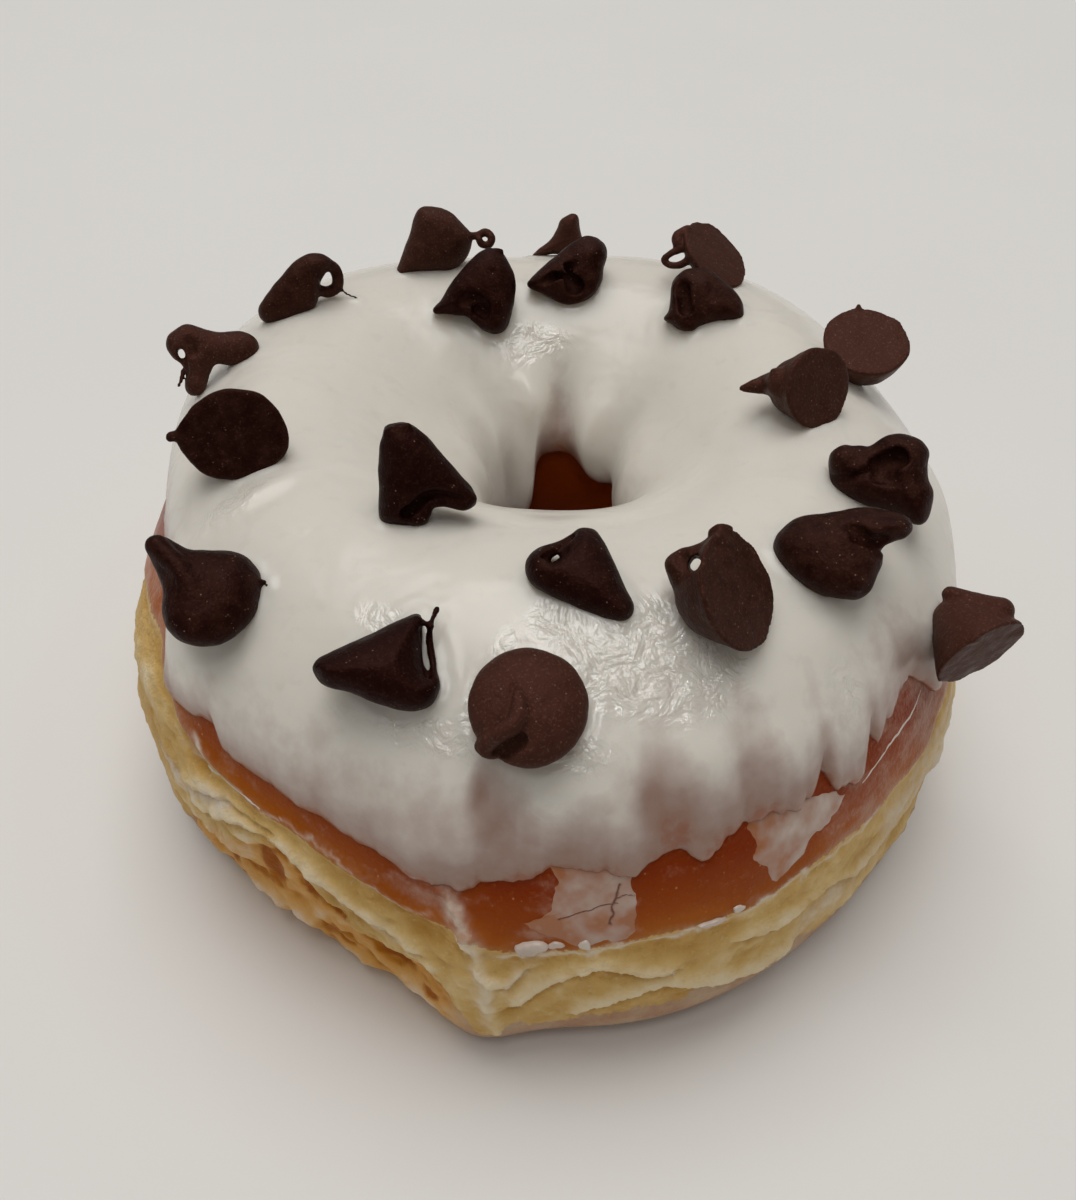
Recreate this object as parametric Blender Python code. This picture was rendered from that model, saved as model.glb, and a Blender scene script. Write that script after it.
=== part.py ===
"""An iced ring doughnut scattered with chocolate chips, whole and at its real size.

Metres, +Z up. It rests on its pressed foot, and its origin is under the middle of its box.
Clocks are degrees round the ring from +X towards +Y. A reach is the distance along the ring's
section, from the belt up the outside, over the crest, down the hole and back along the foot.
"""
import bpy
import numpy as np
from mathutils import Vector
from mathutils.bvhtree import BVHTree

MM = 0.001
GAP = 0.3 * MM

# The dough ring's section: belt, crest and throat, and how full each quarter between them is,
# where 2 is an ellipse, more is squarer and less is slacker.
BELT_RADIUS = 45.0 * MM
BELT_HEIGHT = 16.5 * MM
CREST_RADIUS = 27.3 * MM
CREST_HEIGHT = 37.8 * MM
THROAT_RADIUS = 9.5 * MM
THROAT_HEIGHT = 17.0 * MM
SHOULDER_FULLNESS = 1.8
INNER_FULLNESS = 2.0
HEEL_FULLNESS = 4.0
FOOT_FULLNESS = 5.0
# Its own weight presses this much of the underside flat.
FOOT_FLAT = 0.5 * MM

# The ring isn't round: waves round its plan as (count, cosine share, sine share), a hole off the
# middle, a flank pressed flat against a neighbour and the corner pinched up beside it.
PLAN_WAVES = ((2, -0.030, -0.025), (3, -0.007, 0.031), (4, -0.036, -0.006), (5, 0.015, -0.030))
HOLE_SHIFT = (1.5 * MM, 2.5 * MM)
PRESSED_CLOCK, PRESSED_SPREAD, PRESSED_DEPTH = 234.0, 28.0, 1.2 * MM
PRESSED_FADE = 0.8
PINCH_CLOCK, PINCH_SPREAD, PINCH_REACH = 263.0, 6.0, 2.8 * MM
PINCH_HEIGHT = 24.0 * MM
# Nearer the hole than this, the flank and the corner have died away.
INSIDE_RADIUS = 20.0 * MM

# The icing: its thickness, its clearance over the dough, how softly its edges round off, and the
# mean reach of both edges.
ICING_THICKNESS = 1.8 * MM
ICING_EDGE = 0.35 * MM
ICING_CLEARANCE = 0.45 * MM
OUTER_ROUNDING = 6.0 * MM
INNER_ROUNDING = 4.0 * MM
OUTER_EDGE_REACH = 9.0 * MM
INNER_EDGE_REACH = 55.0 * MM
# Where an edge of the icing climbs (+) or runs down in a drip (-): clock, distance, spread.
OUTER_EDGE_WAVES = (
    (203, 7.5 * MM, 13), (258, -2.5 * MM, 9), (291, 1.5 * MM, 7), (318, 3.0 * MM, 6),
    (330, -3.0 * MM, 6), (20, -2.0 * MM, 9), (52, 1.5 * MM, 8), (84, -1.5 * MM, 8),
    (118, 1.5 * MM, 10), (150, -1.5 * MM, 9),
)
INNER_EDGE_WAVES = ((82, -4.0 * MM, 20), (122, 3.0 * MM, 12), (158, -5.0 * MM, 9), (270, -1.5 * MM, 30))
# The icing hangs in soft folds down the hole: the clock of each valley, and its depth and spread.
FOLD_CLOCKS = (48, 80, 104, 128)
FOLD_DEPTH = 0.9 * MM
FOLD_SWELL = 1.0 * MM
FOLD_SPREAD = 6.0
FOLD_REACH, FOLD_LENGTH = 47.0 * MM, 7.0 * MM
FOLDED_CLOCK, FOLDED_SPREAD = 95, 50

# The chips, at their seats on the icing. Each line is one chip: the clock, radius and height of
# its base's centre; the clock its tip heads for and how far that rises; which side it curls to
# (0 downwards, 90 to the left) and through what angle; its base radius, length and tip share.
CHIPS = (
    (152, 29.0, 41.0, 115, 55, -75, 210, 3.7, 11, 0.25),
    (180, 30.5, 47.0, 240, -50, 15, 40, 4.6, 7.5, 0.24),
    (208, 29.5, 44.0, 110, -5, 20, 50, 4.8, 10.5, 0.22),
    (224, 37.0, 36.0, 230, 65, -80, 5, 4.7, 9, 0.27),
    (244, 21.0, 40.0, 115, 70, 150, 160, 4.7, 14.5, 0.25),
    (258, 38.5, 40.5, 170, -10, 0, 10, 4.6, 10, 0.25),
    (269, 38.0, 36.0, 270, 50, -35, 95, 5, 11.5, 0.22),
    (280, 31.0, 43.5, 210, -5, 160, 195, 4.4, 14, 0.24),
    (297, 36.5, 43.0, 200, 5, 155, 205, 5.1, 15, 0.24),
    (313.5, 33.5, 39.0, 340, 62, 10, 90, 4.5, 8.7, 0.26),
    (332, 34.5, 41.3, 210, 45, 60, 50, 4.2, 12.5, 0.25),
    (326, 45.0, 30.5, 155, 42, 0, 0, 4.25, 3.9, 0.6),
    (351.5, 27.0, 42.5, 210, 10, -25, 0, 4.15, 10.5, 0.2),
    (3, 31.5, 44.0, 100, -60, 5, 25, 4.35, 6.5, 0.25),
    (37, 21.5, 40.5, 115, 70, 125, 220, 4.5, 11, 0.25),
    (49, 29.0, 44.0, 205, -35, 20, 40, 4.4, 7, 0.22),
    (81, 20.0, 40.0, 50, 75, -125, 180, 4.4, 13.5, 0.25),
    (83.5, 28.6, 40.0, 260, 75, 145, 25, 3.7, 5.8, 0.24),
    (111, 18.0, 39.5, 55, 80, -125, 180, 4.6, 14.5, 0.25),
    (116, 25.2, 41.0, 95, 65, 150, 70, 4.6, 6.8, 0.3),
)
# What all chips share: how late the curl comes, how far up the waist is in base radii and how
# sharp it is, how tall the rounded rim at the base is in base radii, and how far it draws in.
CURL_DELAY = 1.6
WAIST_HEIGHT, WAIST_SHARPNESS = 0.95, 2.6
RIM_HEIGHT, RIM_DRAW = 0.16, 0.14

# How finely the solids are made.
CLOCKS = 72
DOUGH_REACHES = (0, 6, 12, 18, 24, 30, 36, 42, 48, 54, 60, 66, 72, 76, 90, 102.5, 106.5, 110, 115)
ICING_ROWS_OVER = 13
ICING_ROWS_UNDER = 10
SIDES = 12
CHIP_STATIONS = (0.0, 0.05, 0.16, 0.32, 0.48, 0.62, 0.76, 0.9)


def section_line(points=1200):
    """The ring's section as a closed line of (reach, radius, height), one superellipse a quarter."""
    turn = np.linspace(0, np.pi / 2, points)
    rising, falling = np.sin(turn), np.cos(turn)
    falling[-1] = 0
    outer = BELT_RADIUS - CREST_RADIUS
    inner = CREST_RADIUS - THROAT_RADIUS
    quarters = (
        (CREST_RADIUS + outer * falling ** (2 / SHOULDER_FULLNESS),
         BELT_HEIGHT + (CREST_HEIGHT - BELT_HEIGHT) * rising ** (2 / SHOULDER_FULLNESS)),
        (CREST_RADIUS - inner * rising ** (2 / INNER_FULLNESS),
         THROAT_HEIGHT + (CREST_HEIGHT - THROAT_HEIGHT) * falling ** (2 / INNER_FULLNESS)),
        (CREST_RADIUS - inner * falling ** (2 / HEEL_FULLNESS),
         THROAT_HEIGHT * (1 - rising ** (2 / HEEL_FULLNESS))),
        (CREST_RADIUS + outer * rising ** (2 / FOOT_FULLNESS),
         BELT_HEIGHT * (1 - falling ** (2 / FOOT_FULLNESS))),
    )
    radius = np.concatenate([quarter[0] for quarter in quarters])
    height = np.concatenate([quarter[1] for quarter in quarters])
    reach = np.concatenate([[0], np.cumsum(np.hypot(np.diff(radius), np.diff(height)))])
    return reach, radius, height


SECTION = section_line()


def swell(clock, centre, spread):
    """A smooth rise to 1 at a clock, dying away over its spread."""
    off = (np.degrees(clock) - centre + 180) % 360 - 180
    return np.exp(-(off / spread) ** 2)


def ring_point(clock, reach):
    """Points of the dough's surface: the section carried round the ring's uneven plan."""
    around = reach % SECTION[0][-1]
    radius = np.interp(around, SECTION[0], SECTION[1])
    height = np.interp(around, SECTION[0], SECTION[2])
    waves = sum(c * np.cos(n * clock) + s * np.sin(n * clock) for n, c, s in PLAN_WAVES)
    outward = np.clip((radius - THROAT_RADIUS) / (BELT_RADIUS - THROAT_RADIUS), 0, 1)
    outside = np.clip((radius - INSIDE_RADIUS) / INSIDE_RADIUS, 0, 1)
    radius = radius * (1 + waves * outward)
    low = np.clip(1 - height / BELT_HEIGHT, 0, 1) ** PRESSED_FADE
    radius = radius - PRESSED_DEPTH * swell(clock, PRESSED_CLOCK, PRESSED_SPREAD) * low * outside
    pinched = np.clip(1 - height / PINCH_HEIGHT, 0, 1)
    radius = radius + PINCH_REACH * swell(clock, PINCH_CLOCK, PINCH_SPREAD) * pinched * outside
    x = radius * np.cos(clock) + HOLE_SHIFT[0] * (1 - outward)
    y = radius * np.sin(clock) + HOLE_SHIFT[1] * (1 - outward)
    return np.stack(np.broadcast_arrays(x, y, np.maximum(height - FOOT_FLAT, 0)), axis=-1)


def ring_normal(clock, reach):
    """The outward direction there, from two short steps along the surface."""
    step = 0.1 * MM
    turn = step / CREST_RADIUS
    round_the_ring = ring_point(clock + turn, reach) - ring_point(clock - turn, reach)
    over_the_ring = ring_point(clock, reach + step) - ring_point(clock, reach - step)
    normal = np.cross(round_the_ring, over_the_ring)
    return normal / np.linalg.norm(normal, axis=-1, keepdims=True)


def edge_reach(clock, mean, waves):
    return mean + sum(height * swell(clock, centre, spread) for centre, height, spread in waves)


def icing_thickness(clock, share, outer, inner):
    """How thick the icing is a share of the way from its outer edge to its inner one: even on top,
    rounded off at both edges and folded where it hangs down the hole."""
    length = inner - outer
    thin = ICING_THICKNESS - ICING_EDGE
    from_outer = np.clip(share * length / OUTER_ROUNDING, 0, 1)
    from_inner = np.clip((1 - share) * length / INNER_ROUNDING, 0, 1)
    even = ICING_EDGE + thin * np.sqrt(1 - (1 - from_outer) ** 2) * np.sqrt(1 - (1 - from_inner) ** 2)
    folds = sum(swell(clock, valley, FOLD_SPREAD) for valley in FOLD_CLOCKS)
    hanging = np.clip((outer + share * length - FOLD_REACH) / FOLD_LENGTH + 1, 0, 1)
    folded = swell(clock, FOLDED_CLOCK, FOLDED_SPREAD)
    return even + hanging * from_inner * folded * (FOLD_SWELL - (FOLD_SWELL + FOLD_DEPTH) * folds)


def curl_chip(base_radius, length, curl, tip_share, along, sides):
    """A kiss-shaped chip about its own axis: rings round a spine that starts up +Z and curls to +X.
    Its radius falls from the rounded rim over a waist to the blunt tip."""
    bend = np.radians(curl) * along ** CURL_DELAY
    fine = np.linspace(0, 1, 200)
    fine_bend = np.radians(curl) * fine ** CURL_DELAY
    step = length / (len(fine) - 1)
    spine_x = np.interp(along, fine, np.cumsum(np.sin(fine_bend)) * step)
    spine_z = np.interp(along, fine, (np.cumsum(np.cos(fine_bend)) - 1) * step)
    waist = 1 / (1 + (along * length / (WAIST_HEIGHT * base_radius)) ** WAIST_SHARPNESS)
    radius = base_radius * (tip_share + (1 - tip_share) * waist)
    rim = np.clip(along * length / (RIM_HEIGHT * base_radius), 0, 1)
    radius = radius * (1 - RIM_DRAW + RIM_DRAW * np.sqrt(1 - (1 - rim) ** 2))
    end = np.clip((1 - along) * length / (tip_share * base_radius), 0, 1)
    radius = radius * np.sqrt(1 - (1 - end) ** 2)
    turn = np.linspace(0, 2 * np.pi, sides, endpoint=False)
    across = radius[:, None] * np.cos(turn)
    x = spine_x[:, None] + across * np.cos(bend)[:, None]
    z = spine_z[:, None] - across * np.sin(bend)[:, None]
    y = radius[:, None] * np.sin(turn)
    return np.stack([x, y, z], axis=-1)


def turn_chip(points, heading, rise, side):
    """Turns a chip from its own axis to where its tip heads, with its curl to the side asked."""
    heading, rise, side = np.radians([heading, rise, side])
    ahead = np.array([np.cos(rise) * np.cos(heading), np.cos(rise) * np.sin(heading), np.sin(rise)])
    below = np.array([np.sin(rise) * np.cos(heading), np.sin(rise) * np.sin(heading), -np.cos(rise)])
    left = np.cross(ahead, below)
    curled = below * np.cos(side) + left * np.sin(side)
    level = np.cross(ahead, curled)
    return points @ np.stack([curled, level, ahead])


def loop_mesh(name, rings):
    """A closed mesh from rings that are closed both ways, as on a ring doughnut."""
    clocks, rows = rings.shape[:2]
    faces = []
    for i in range(clocks):
        for j in range(rows):
            k, m = (i + 1) % clocks, (j + 1) % rows
            faces.append((i * rows + j, k * rows + j, k * rows + m, i * rows + m))
    mesh = bpy.data.meshes.new(name)
    mesh.from_pydata(rings.reshape(-1, 3).tolist(), [], faces)
    return mesh


def capped_mesh(name, rings, start, end):
    """A closed mesh from rings one after the other, with a point closing each end."""
    count, sides = rings.shape[:2]
    points = np.concatenate([rings.reshape(-1, 3), [start, end]])
    first, last = count * sides, count * sides + 1
    faces = []
    for k in range(sides):
        m = (k + 1) % sides
        faces.append((first, m, k))
        faces.append((last, (count - 1) * sides + k, (count - 1) * sides + m))
        for j in range(count - 1):
            faces.append((j * sides + k, j * sides + m, (j + 1) * sides + m, (j + 1) * sides + k))
    mesh = bpy.data.meshes.new(name)
    mesh.from_pydata(points.tolist(), [], faces)
    return mesh


def material(name, colour, roughness):
    made = bpy.data.materials.new(name)
    made.use_nodes = True
    shader = made.node_tree.nodes["Principled BSDF"]
    shader.inputs["Base Color"].default_value = (*colour, 1)
    shader.inputs["Roughness"].default_value = roughness
    return made


def add_piece(mesh, finish):
    mesh.shade_smooth()
    mesh.materials.append(finish)
    piece = bpy.data.objects.new(mesh.name, mesh)
    bpy.context.scene.collection.objects.link(piece)
    return piece


def make_dough(finish):
    clock = np.linspace(0, 2 * np.pi, CLOCKS, endpoint=False)[:, None]
    reach = np.array(DOUGH_REACHES)[None, :] * MM
    return add_piece(loop_mesh("dough", ring_point(clock, reach)), finish)


def make_icing(finish):
    """A shell over the crest: its upper side from the outer edge to the inner one, and back below."""
    clock = np.linspace(0, 2 * np.pi, CLOCKS, endpoint=False)[:, None]
    outer = edge_reach(clock, OUTER_EDGE_REACH, OUTER_EDGE_WAVES)
    inner = edge_reach(clock, INNER_EDGE_REACH, INNER_EDGE_WAVES)
    over = np.linspace(0, 1, ICING_ROWS_OVER)[None, :]
    under = np.linspace(1, 0, ICING_ROWS_UNDER + 2)[None, 1:-1]
    upper = ring_point(clock, outer + over * (inner - outer))
    lift = ICING_CLEARANCE + icing_thickness(clock, over, outer, inner)
    upper = upper + ring_normal(clock, outer + over * (inner - outer)) * lift[..., None]
    lower = ring_point(clock, outer + under * (inner - outer))
    lower = lower + ring_normal(clock, outer + under * (inner - outer)) * ICING_CLEARANCE
    return add_piece(loop_mesh("icing", np.concatenate([upper, lower], axis=1)), finish)


def seat_chip(points, shape):
    """How far and which way to slide a chip, so that it just clears the icing by the gap."""
    centre = Vector(points.reshape(-1, 3).mean(axis=0))
    up = shape.find_nearest(centre)[1]
    slide = Vector()
    for _ in range(12):
        clear = 1.0
        for point in points.reshape(-1, 3):
            here = Vector(point) + slide
            nearest, normal, _, _ = shape.find_nearest(here)
            clear = min(clear, (here - nearest).dot(normal))
        slide += up * (GAP - clear)
    return np.array(slide)


def make_chip(name, spec, icing_shape, finish):
    clock, radius, height, heading, rise, side, curl, base_radius, length, tip_share = spec
    seat = np.array([np.cos(np.radians(clock)) * radius, np.sin(np.radians(clock)) * radius, height]) * MM
    shape = (base_radius * MM, length * MM, curl, tip_share)
    rings = turn_chip(curl_chip(*shape, np.array(CHIP_STATIONS), SIDES), heading, rise, side) + seat
    tip = turn_chip(curl_chip(*shape, np.array([1.0]), SIDES), heading, rise, side)[0].mean(axis=0) + seat
    fine = turn_chip(curl_chip(*shape, np.linspace(0, 1, 24), 24), heading, rise, side) + seat
    disc = seat + (fine[0] - seat) * np.linspace(0, 0.9, 4)[:, None, None]
    slide = seat_chip(np.concatenate([fine, disc]), icing_shape)
    return add_piece(capped_mesh(name, rings + slide, seat + slide, tip + slide), finish)


def centre_on_origin(pieces):
    """Moves every mesh together, so that the middle of their common box stands over the origin."""
    points = np.concatenate([[vertex.co for vertex in piece.data.vertices] for piece in pieces])
    middle = (points.min(axis=0) + points.max(axis=0)) / 2
    for piece in pieces:
        for vertex in piece.data.vertices:
            vertex.co -= Vector((middle[0], middle[1], 0))


def main():
    for old in list(bpy.data.objects):
        bpy.data.objects.remove(old)
    crust = material("fried_dough", (0.42, 0.20, 0.06), 0.45)
    sugar = material("white_icing", (0.72, 0.68, 0.62), 0.25)
    chocolate = material("dark_chocolate", (0.035, 0.016, 0.011), 0.45)
    dough = make_dough(crust)
    icing = make_icing(sugar)
    icing_shape = BVHTree.FromPolygons(
        [vertex.co for vertex in icing.data.vertices], [face.vertices for face in icing.data.polygons]
    )
    chips = [
        make_chip(f"chip_{number:02d}", spec, icing_shape, chocolate)
        for number, spec in enumerate(CHIPS, 1)
    ]
    centre_on_origin([dough, icing, *chips])


main()
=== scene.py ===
"""The looks of an iced ring doughnut scattered with dark chocolate chips.

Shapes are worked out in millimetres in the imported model's own frame, and become metres when a mesh
is made. Clocks are degrees round the ring from +X towards +Y. A reach is the distance along the
ring's section, from the belt up the outside, over the crest and down the hole; below the belt it
is negative.
"""

import bpy
import numpy as np
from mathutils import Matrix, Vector

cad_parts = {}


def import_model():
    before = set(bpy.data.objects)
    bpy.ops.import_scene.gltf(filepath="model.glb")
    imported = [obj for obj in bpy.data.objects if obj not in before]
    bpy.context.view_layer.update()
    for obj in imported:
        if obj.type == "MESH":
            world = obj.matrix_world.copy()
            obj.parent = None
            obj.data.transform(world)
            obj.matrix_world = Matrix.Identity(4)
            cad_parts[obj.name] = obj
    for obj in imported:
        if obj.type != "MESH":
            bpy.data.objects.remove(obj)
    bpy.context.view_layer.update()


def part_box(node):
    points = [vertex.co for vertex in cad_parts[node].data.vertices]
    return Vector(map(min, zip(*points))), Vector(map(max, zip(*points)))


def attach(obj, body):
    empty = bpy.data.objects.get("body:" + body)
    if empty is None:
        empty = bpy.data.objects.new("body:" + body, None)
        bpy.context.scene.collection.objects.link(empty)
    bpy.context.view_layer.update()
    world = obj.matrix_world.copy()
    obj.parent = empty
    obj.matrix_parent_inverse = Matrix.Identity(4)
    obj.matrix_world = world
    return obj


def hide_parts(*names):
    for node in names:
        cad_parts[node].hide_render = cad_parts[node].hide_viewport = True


MM = 0.001

# The dough ring's section and plan, as the solids have them.
BELT_RADIUS, BELT_HEIGHT = 45.0, 16.5
CREST_RADIUS, CREST_HEIGHT = 27.3, 37.8
THROAT_RADIUS, THROAT_HEIGHT = 9.5, 17.0
SHOULDER_FULLNESS, INNER_FULLNESS, HEEL_FULLNESS, FOOT_FULLNESS = 1.8, 2.0, 4.0, 5.0
FOOT_FLAT = 0.5
PLAN_WAVES = ((2, -0.030, -0.025), (3, -0.007, 0.031), (4, -0.036, -0.006), (5, 0.015, -0.030))
HOLE_SHIFT = (1.5, 2.5)
PRESSED_CLOCK, PRESSED_SPREAD, PRESSED_DEPTH, PRESSED_FADE = 234.0, 28.0, 1.2, 0.8
PINCH_CLOCK, PINCH_SPREAD, PINCH_REACH, PINCH_HEIGHT = 263.0, 6.0, 2.8, 24.0
INSIDE_RADIUS = 20.0
MM_PER_DEGREE = np.radians(BELT_RADIUS)

# Where one surface of the doughnut gives way to the next, as (clock, reach) points round the ring:
# the icing's outer and inner edges, the line between crust and pale belt, and the browned foot.
OUTER_EDGE = (
    (12, 8.0), (22, 6.5), (33, 8.5), (45, 10.0), (56, 10.5), (68, 8.6), (80, 7.2), (92, 8.2),
    (104, 9.6), (118, 10.6), (130, 9.4), (142, 8.2), (152, 7.6), (163, 9.5), (175, 12.4), (185, 14.8),
    (193, 16.3), (205, 16.8), (213, 14.1), (215, 12.3), (217, 9.3), (223, 9.2), (226, 10.0),
    (228, 10.2), (229.5, 8.6), (232, 8.2), (238, 8.2), (242, 7.6), (246, 7.9), (249, 7.3), (254, 6.9),
    (257, 6.0), (260, 6.2), (263, 6.4), (265, 7.7), (268, 8.2), (271, 9.3), (275, 9.4), (279, 8.6),
    (281, 9.4), (284, 10.3), (286.5, 8.4), (289, 10.0), (295, 10.4), (298, 9.2), (300.5, 9.6),
    (302, 11.8), (303.5, 8.6), (306, 8.2), (308, 8.7), (310, 11.9), (311.5, 9.6), (315, 10.8),
    (318, 12.6), (321, 12.2), (323.5, 9.4), (326, 7.7), (329, 7.0), (333, 8.2), (341, 10.2), (352, 9.6),
)
INNER_EDGE = (
    (0, 60.0), (15, 59.0), (28, 57.4), (40, 54.8), (46, 55.2), (53, 55.6), (61, 55.4), (70, 54.0),
    (76, 53.2), (84, 52.9), (94, 53.2), (99, 53.8), (103, 56.4), (106, 59.6), (112, 60.8), (120, 61.0),
    (132, 60.6), (150, 60.4), (172, 60.5), (195, 60.0), (215, 57.0), (240, 53.6), (270, 53.6),
    (300, 55.4), (335, 59.2),
)
CRUST_BORDER = (
    (2, 3.6), (20, 4.4), (40, 3.1), (62, 4.0), (88, 2.6), (110, 3.9), (132, 3.0), (158, 4.6), (180, 5.6),
    (200, 11.5), (212, 12.3), (214, 10.6), (219, 8.6), (221, 7.2), (227, 6.0), (232, 5.4), (236, 4.7),
    (241, 4.8), (246, 3.9), (251, 3.3), (256, 2.5), (261, 2.6), (266, 1.2), (272, 1.6), (278, 2.2),
    (283, 2.7), (287, 2.5), (292, 2.1), (297, 3.0), (304, 3.1), (311, 2.6), (314, 3.5), (323, 2.8),
    (326, 4.6), (332, 5.2), (345, 4.2),
)
BELT_FOOT = (
    (0, -9.0), (30, -8.2), (60, -9.4), (100, -8.6), (140, -9.2), (180, -9.0), (205, -9.0), (217, -8.7),
    (221, -6.0), (226, -3.6), (230, -1.6), (234, -0.6), (238, 1.2), (241, 0.6), (244, -1.4), (246, -3.6),
    (249, -6.0), (253, -5.4), (258, -4.2), (261, -6.3), (263, -10.5), (265, -12.0), (267, -9.0),
    (272, -9.7), (278, -8.4), (286, -8.8), (288, -7.4), (294, -8.6), (298, -7.2), (305, -8.4),
    (320, -9.2), (340, -9.4),
)

# The icing: thickness on top, clearance that the solids keep to the dough, thickness of the edges
# themselves, how softly each edge rounds off, and the folds where it hangs down the hole.
ICING_THICKNESS, ICING_CLEARANCE, ICING_EDGE = 1.8, 0.45, 0.14
OUTER_ROUNDING, INNER_ROUNDING = 6.0, 4.0
FOLD_CLOCKS = (36, 83, 126)
FOLD_DEPTH, FOLD_SWELL, FOLD_SPREAD = 1.1, 0.8, 8.0
FOLD_REACH, FOLD_LENGTH, FOLDED_CLOCK, FOLDED_SPREAD = 47.0, 7.0, 95.0, 50.0
# Where the icing has run thin and the crust shows through: clock, reach, both spreads, strength.
THIN_SPOTS = (
    (264.0, 14.6, 3.4, 2.2, 0.76), (265.6, 11.8, 4.4, 2.2, 0.66), (269.6, 10.4, 4.0, 1.6, 0.36),
    (280.6, 14.2, 3.6, 2.1, 0.72), (282.2, 11.9, 5.0, 2.2, 0.62), (287.0, 11.4, 4.0, 1.6, 0.40),
    (291.0, 13.8, 3.0, 2.0, 0.55), (292.0, 11.6, 4.0, 1.8, 0.48), (297.6, 11.2, 4.0, 1.2, 0.36),
    (262.0, 8.4, 7.0, 1.4, 0.45), (246.0, 10.5, 16.0, 3.6, 0.16), (273.0, 12.6, 7.0, 4.0, 0.18),
    (301.2, 12.4, 2.4, 1.6, 0.32), (310.0, 12.6, 1.8, 1.4, 0.42), (318.0, 13.6, 3.0, 1.6, 0.32),
    (20.0, 9.0, 8.0, 1.8, 0.50), (54.0, 12.4, 7.0, 2.2, 0.55), (92.0, 10.6, 7.0, 2.0, 0.50),
    (117.0, 12.6, 6.0, 1.8, 0.60), (146.0, 10.2, 7.0, 1.6, 0.50),
)
# Each is narrower by the first share towards smaller clocks and wider by the second the other way.
THIN_SHARP_SIDE, THIN_SOFT_SIDE = 0.32, 1.15
# Where it has piled up in a run or a roll: clock, reach, both spreads, height.
ROLLS = (
    (259.8, 9.6, 5.0, 1.6, 0.45), (270.0, 11.2, 1.8, 2.8, 0.40), (273.2, 15.2, 3.6, 1.8, 0.45),
    (276.4, 17.6, 3.2, 1.4, 0.35), (277.4, 11.6, 2.0, 2.8, 0.50), (287.6, 16.8, 3.2, 1.8, 0.40),
    (295.6, 13.4, 2.8, 2.6, 0.35), (306.2, 10.6, 2.8, 2.6, 0.35), (313.2, 12.6, 2.2, 2.4, 0.20),
    (326.5, 9.6, 3.4, 2.6, 0.40), (242.0, 10.2, 9.0, 1.8, 0.30), (226.5, 12.4, 4.0, 2.0, 0.25),
    (174.0, 50.0, 26.0, 7.0, 2.5), (128.0, 49.5, 9.0, 5.0, 1.5), (2.0, 50.5, 28.0, 6.0, 1.9),
    (61.0, 49.5, 13.0, 4.5, 1.6), (100.0, 47.0, 8.0, 3.0, 0.7), (268.0, 46.5, 34.0, 5.0, 1.25),
    (208.0, 50.0, 16.0, 6.0, 1.0), (213.0, 26.5, 2.2, 5.5, 0.38), (207.8, 25.0, 2.6, 5.0, -0.26),
)
# The length in mm over which the icing comes to hide the crust above its outer edge.
SKIRT = (
    (0, 2.2), (60, 2.4), (120, 2.0), (180, 1.8), (215, 1.6), (228, 2.4), (238, 3.2), (248, 3.8),
    (256, 4.2), (262, 4.4), (266, 4.0), (270, 3.6), (275, 3.6), (278, 4.0), (281, 5.0), (285, 5.2),
    (290, 5.2), (294, 4.4), (298, 4.0), (303, 3.6), (309, 3.2), (312, 3.6), (318, 3.6), (324, 2.2),
    (330, 1.8),
)
# The same below its inner edge, where it hangs in the hole.
HANGING_SKIRT = (
    (0, 1.2), (50, 1.4), (64, 2.0), (76, 3.6), (86, 5.0), (96, 3.8), (104, 2.2), (120, 1.5), (150, 1.2),
    (330, 1.2),
)
# Patches whose skin has dried in fine crinkles: clock, reach, both spreads, strength.
CRINKLES = (
    (271.0, 26.4, 3.5, 2.0, 1.0), (279.0, 23.4, 5.0, 3.0, 1.2), (289.0, 21.6, 6.0, 3.2, 1.2),
    (285.0, 25.6, 4.0, 2.0, 1.0), (306.5, 16.2, 3.0, 2.6, 0.9), (259.5, 18.0, 4.0, 1.0, 1.1),
    (262.8, 19.6, 1.6, 2.6, 1.1), (274.0, 17.6, 4.0, 1.2, 0.9), (248.0, 24.2, 5.0, 1.1, 0.9),
    (265.0, 22.6, 1.6, 3.0, 1.0), (270.5, 14.6, 5.0, 1.6, 0.5), (97.0, 41.0, 14.0, 2.4, 0.9),
    (211.0, 25.5, 3.5, 3.5, 0.7), (252.0, 17.2, 8.0, 0.9, 0.8),
)

# The dough's relief. A fold is a lip of dough along (clock, reach) points, with its height and width.
FOLDS = (
    (((265.5, -7.6), (268.8, -4.6), (272.2, -1.8), (276.1, -0.4), (280.2, -2.2), (285.0, -2.6)), 0.7, 1.5),
    (((272.0, -8.4), (276.3, -6.0), (282.3, -4.2), (289.3, -7.0), (296.2, -8.4), (300.0, -6.5)), 0.8, 1.8),
    (((264.8, -2.8), (267.0, -3.2), (268.6, -1.0), (271.0, 0.2)), 0.5, 0.9),
    (((289.0, -1.0), (296.0, -2.6), (303.0, -1.8), (309.0, -4.4), (316.0, -3.4)), 0.5, 1.4),
    (((222.0, -2.0), (228.0, 0.4), (234.0, 2.4), (240.0, 2.6), (246.0, 0.4), (252.0, -1.0),
      (259.0, -2.4)), 0.7, 1.2),
    (((214.0, 3.0), (222.0, 1.2), (231.0, 3.6), (240.0, 3.4)), 0.4, 1.0),
    (((20.0, -3.0), (34.0, -1.0), (50.0, -3.6), (66.0, -2.2)), 0.6, 1.6),
    (((84.0, -4.4), (98.0, -1.6), (114.0, -3.8), (128.0, -2.0)), 0.6, 1.6),
    (((146.0, -2.6), (162.0, -4.4), (178.0, -1.8), (196.0, -3.6)), 0.6, 1.5),
    (((326.0, -3.6), (340.0, -1.2), (354.0, -3.4)), 0.6, 1.5),
)
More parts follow.
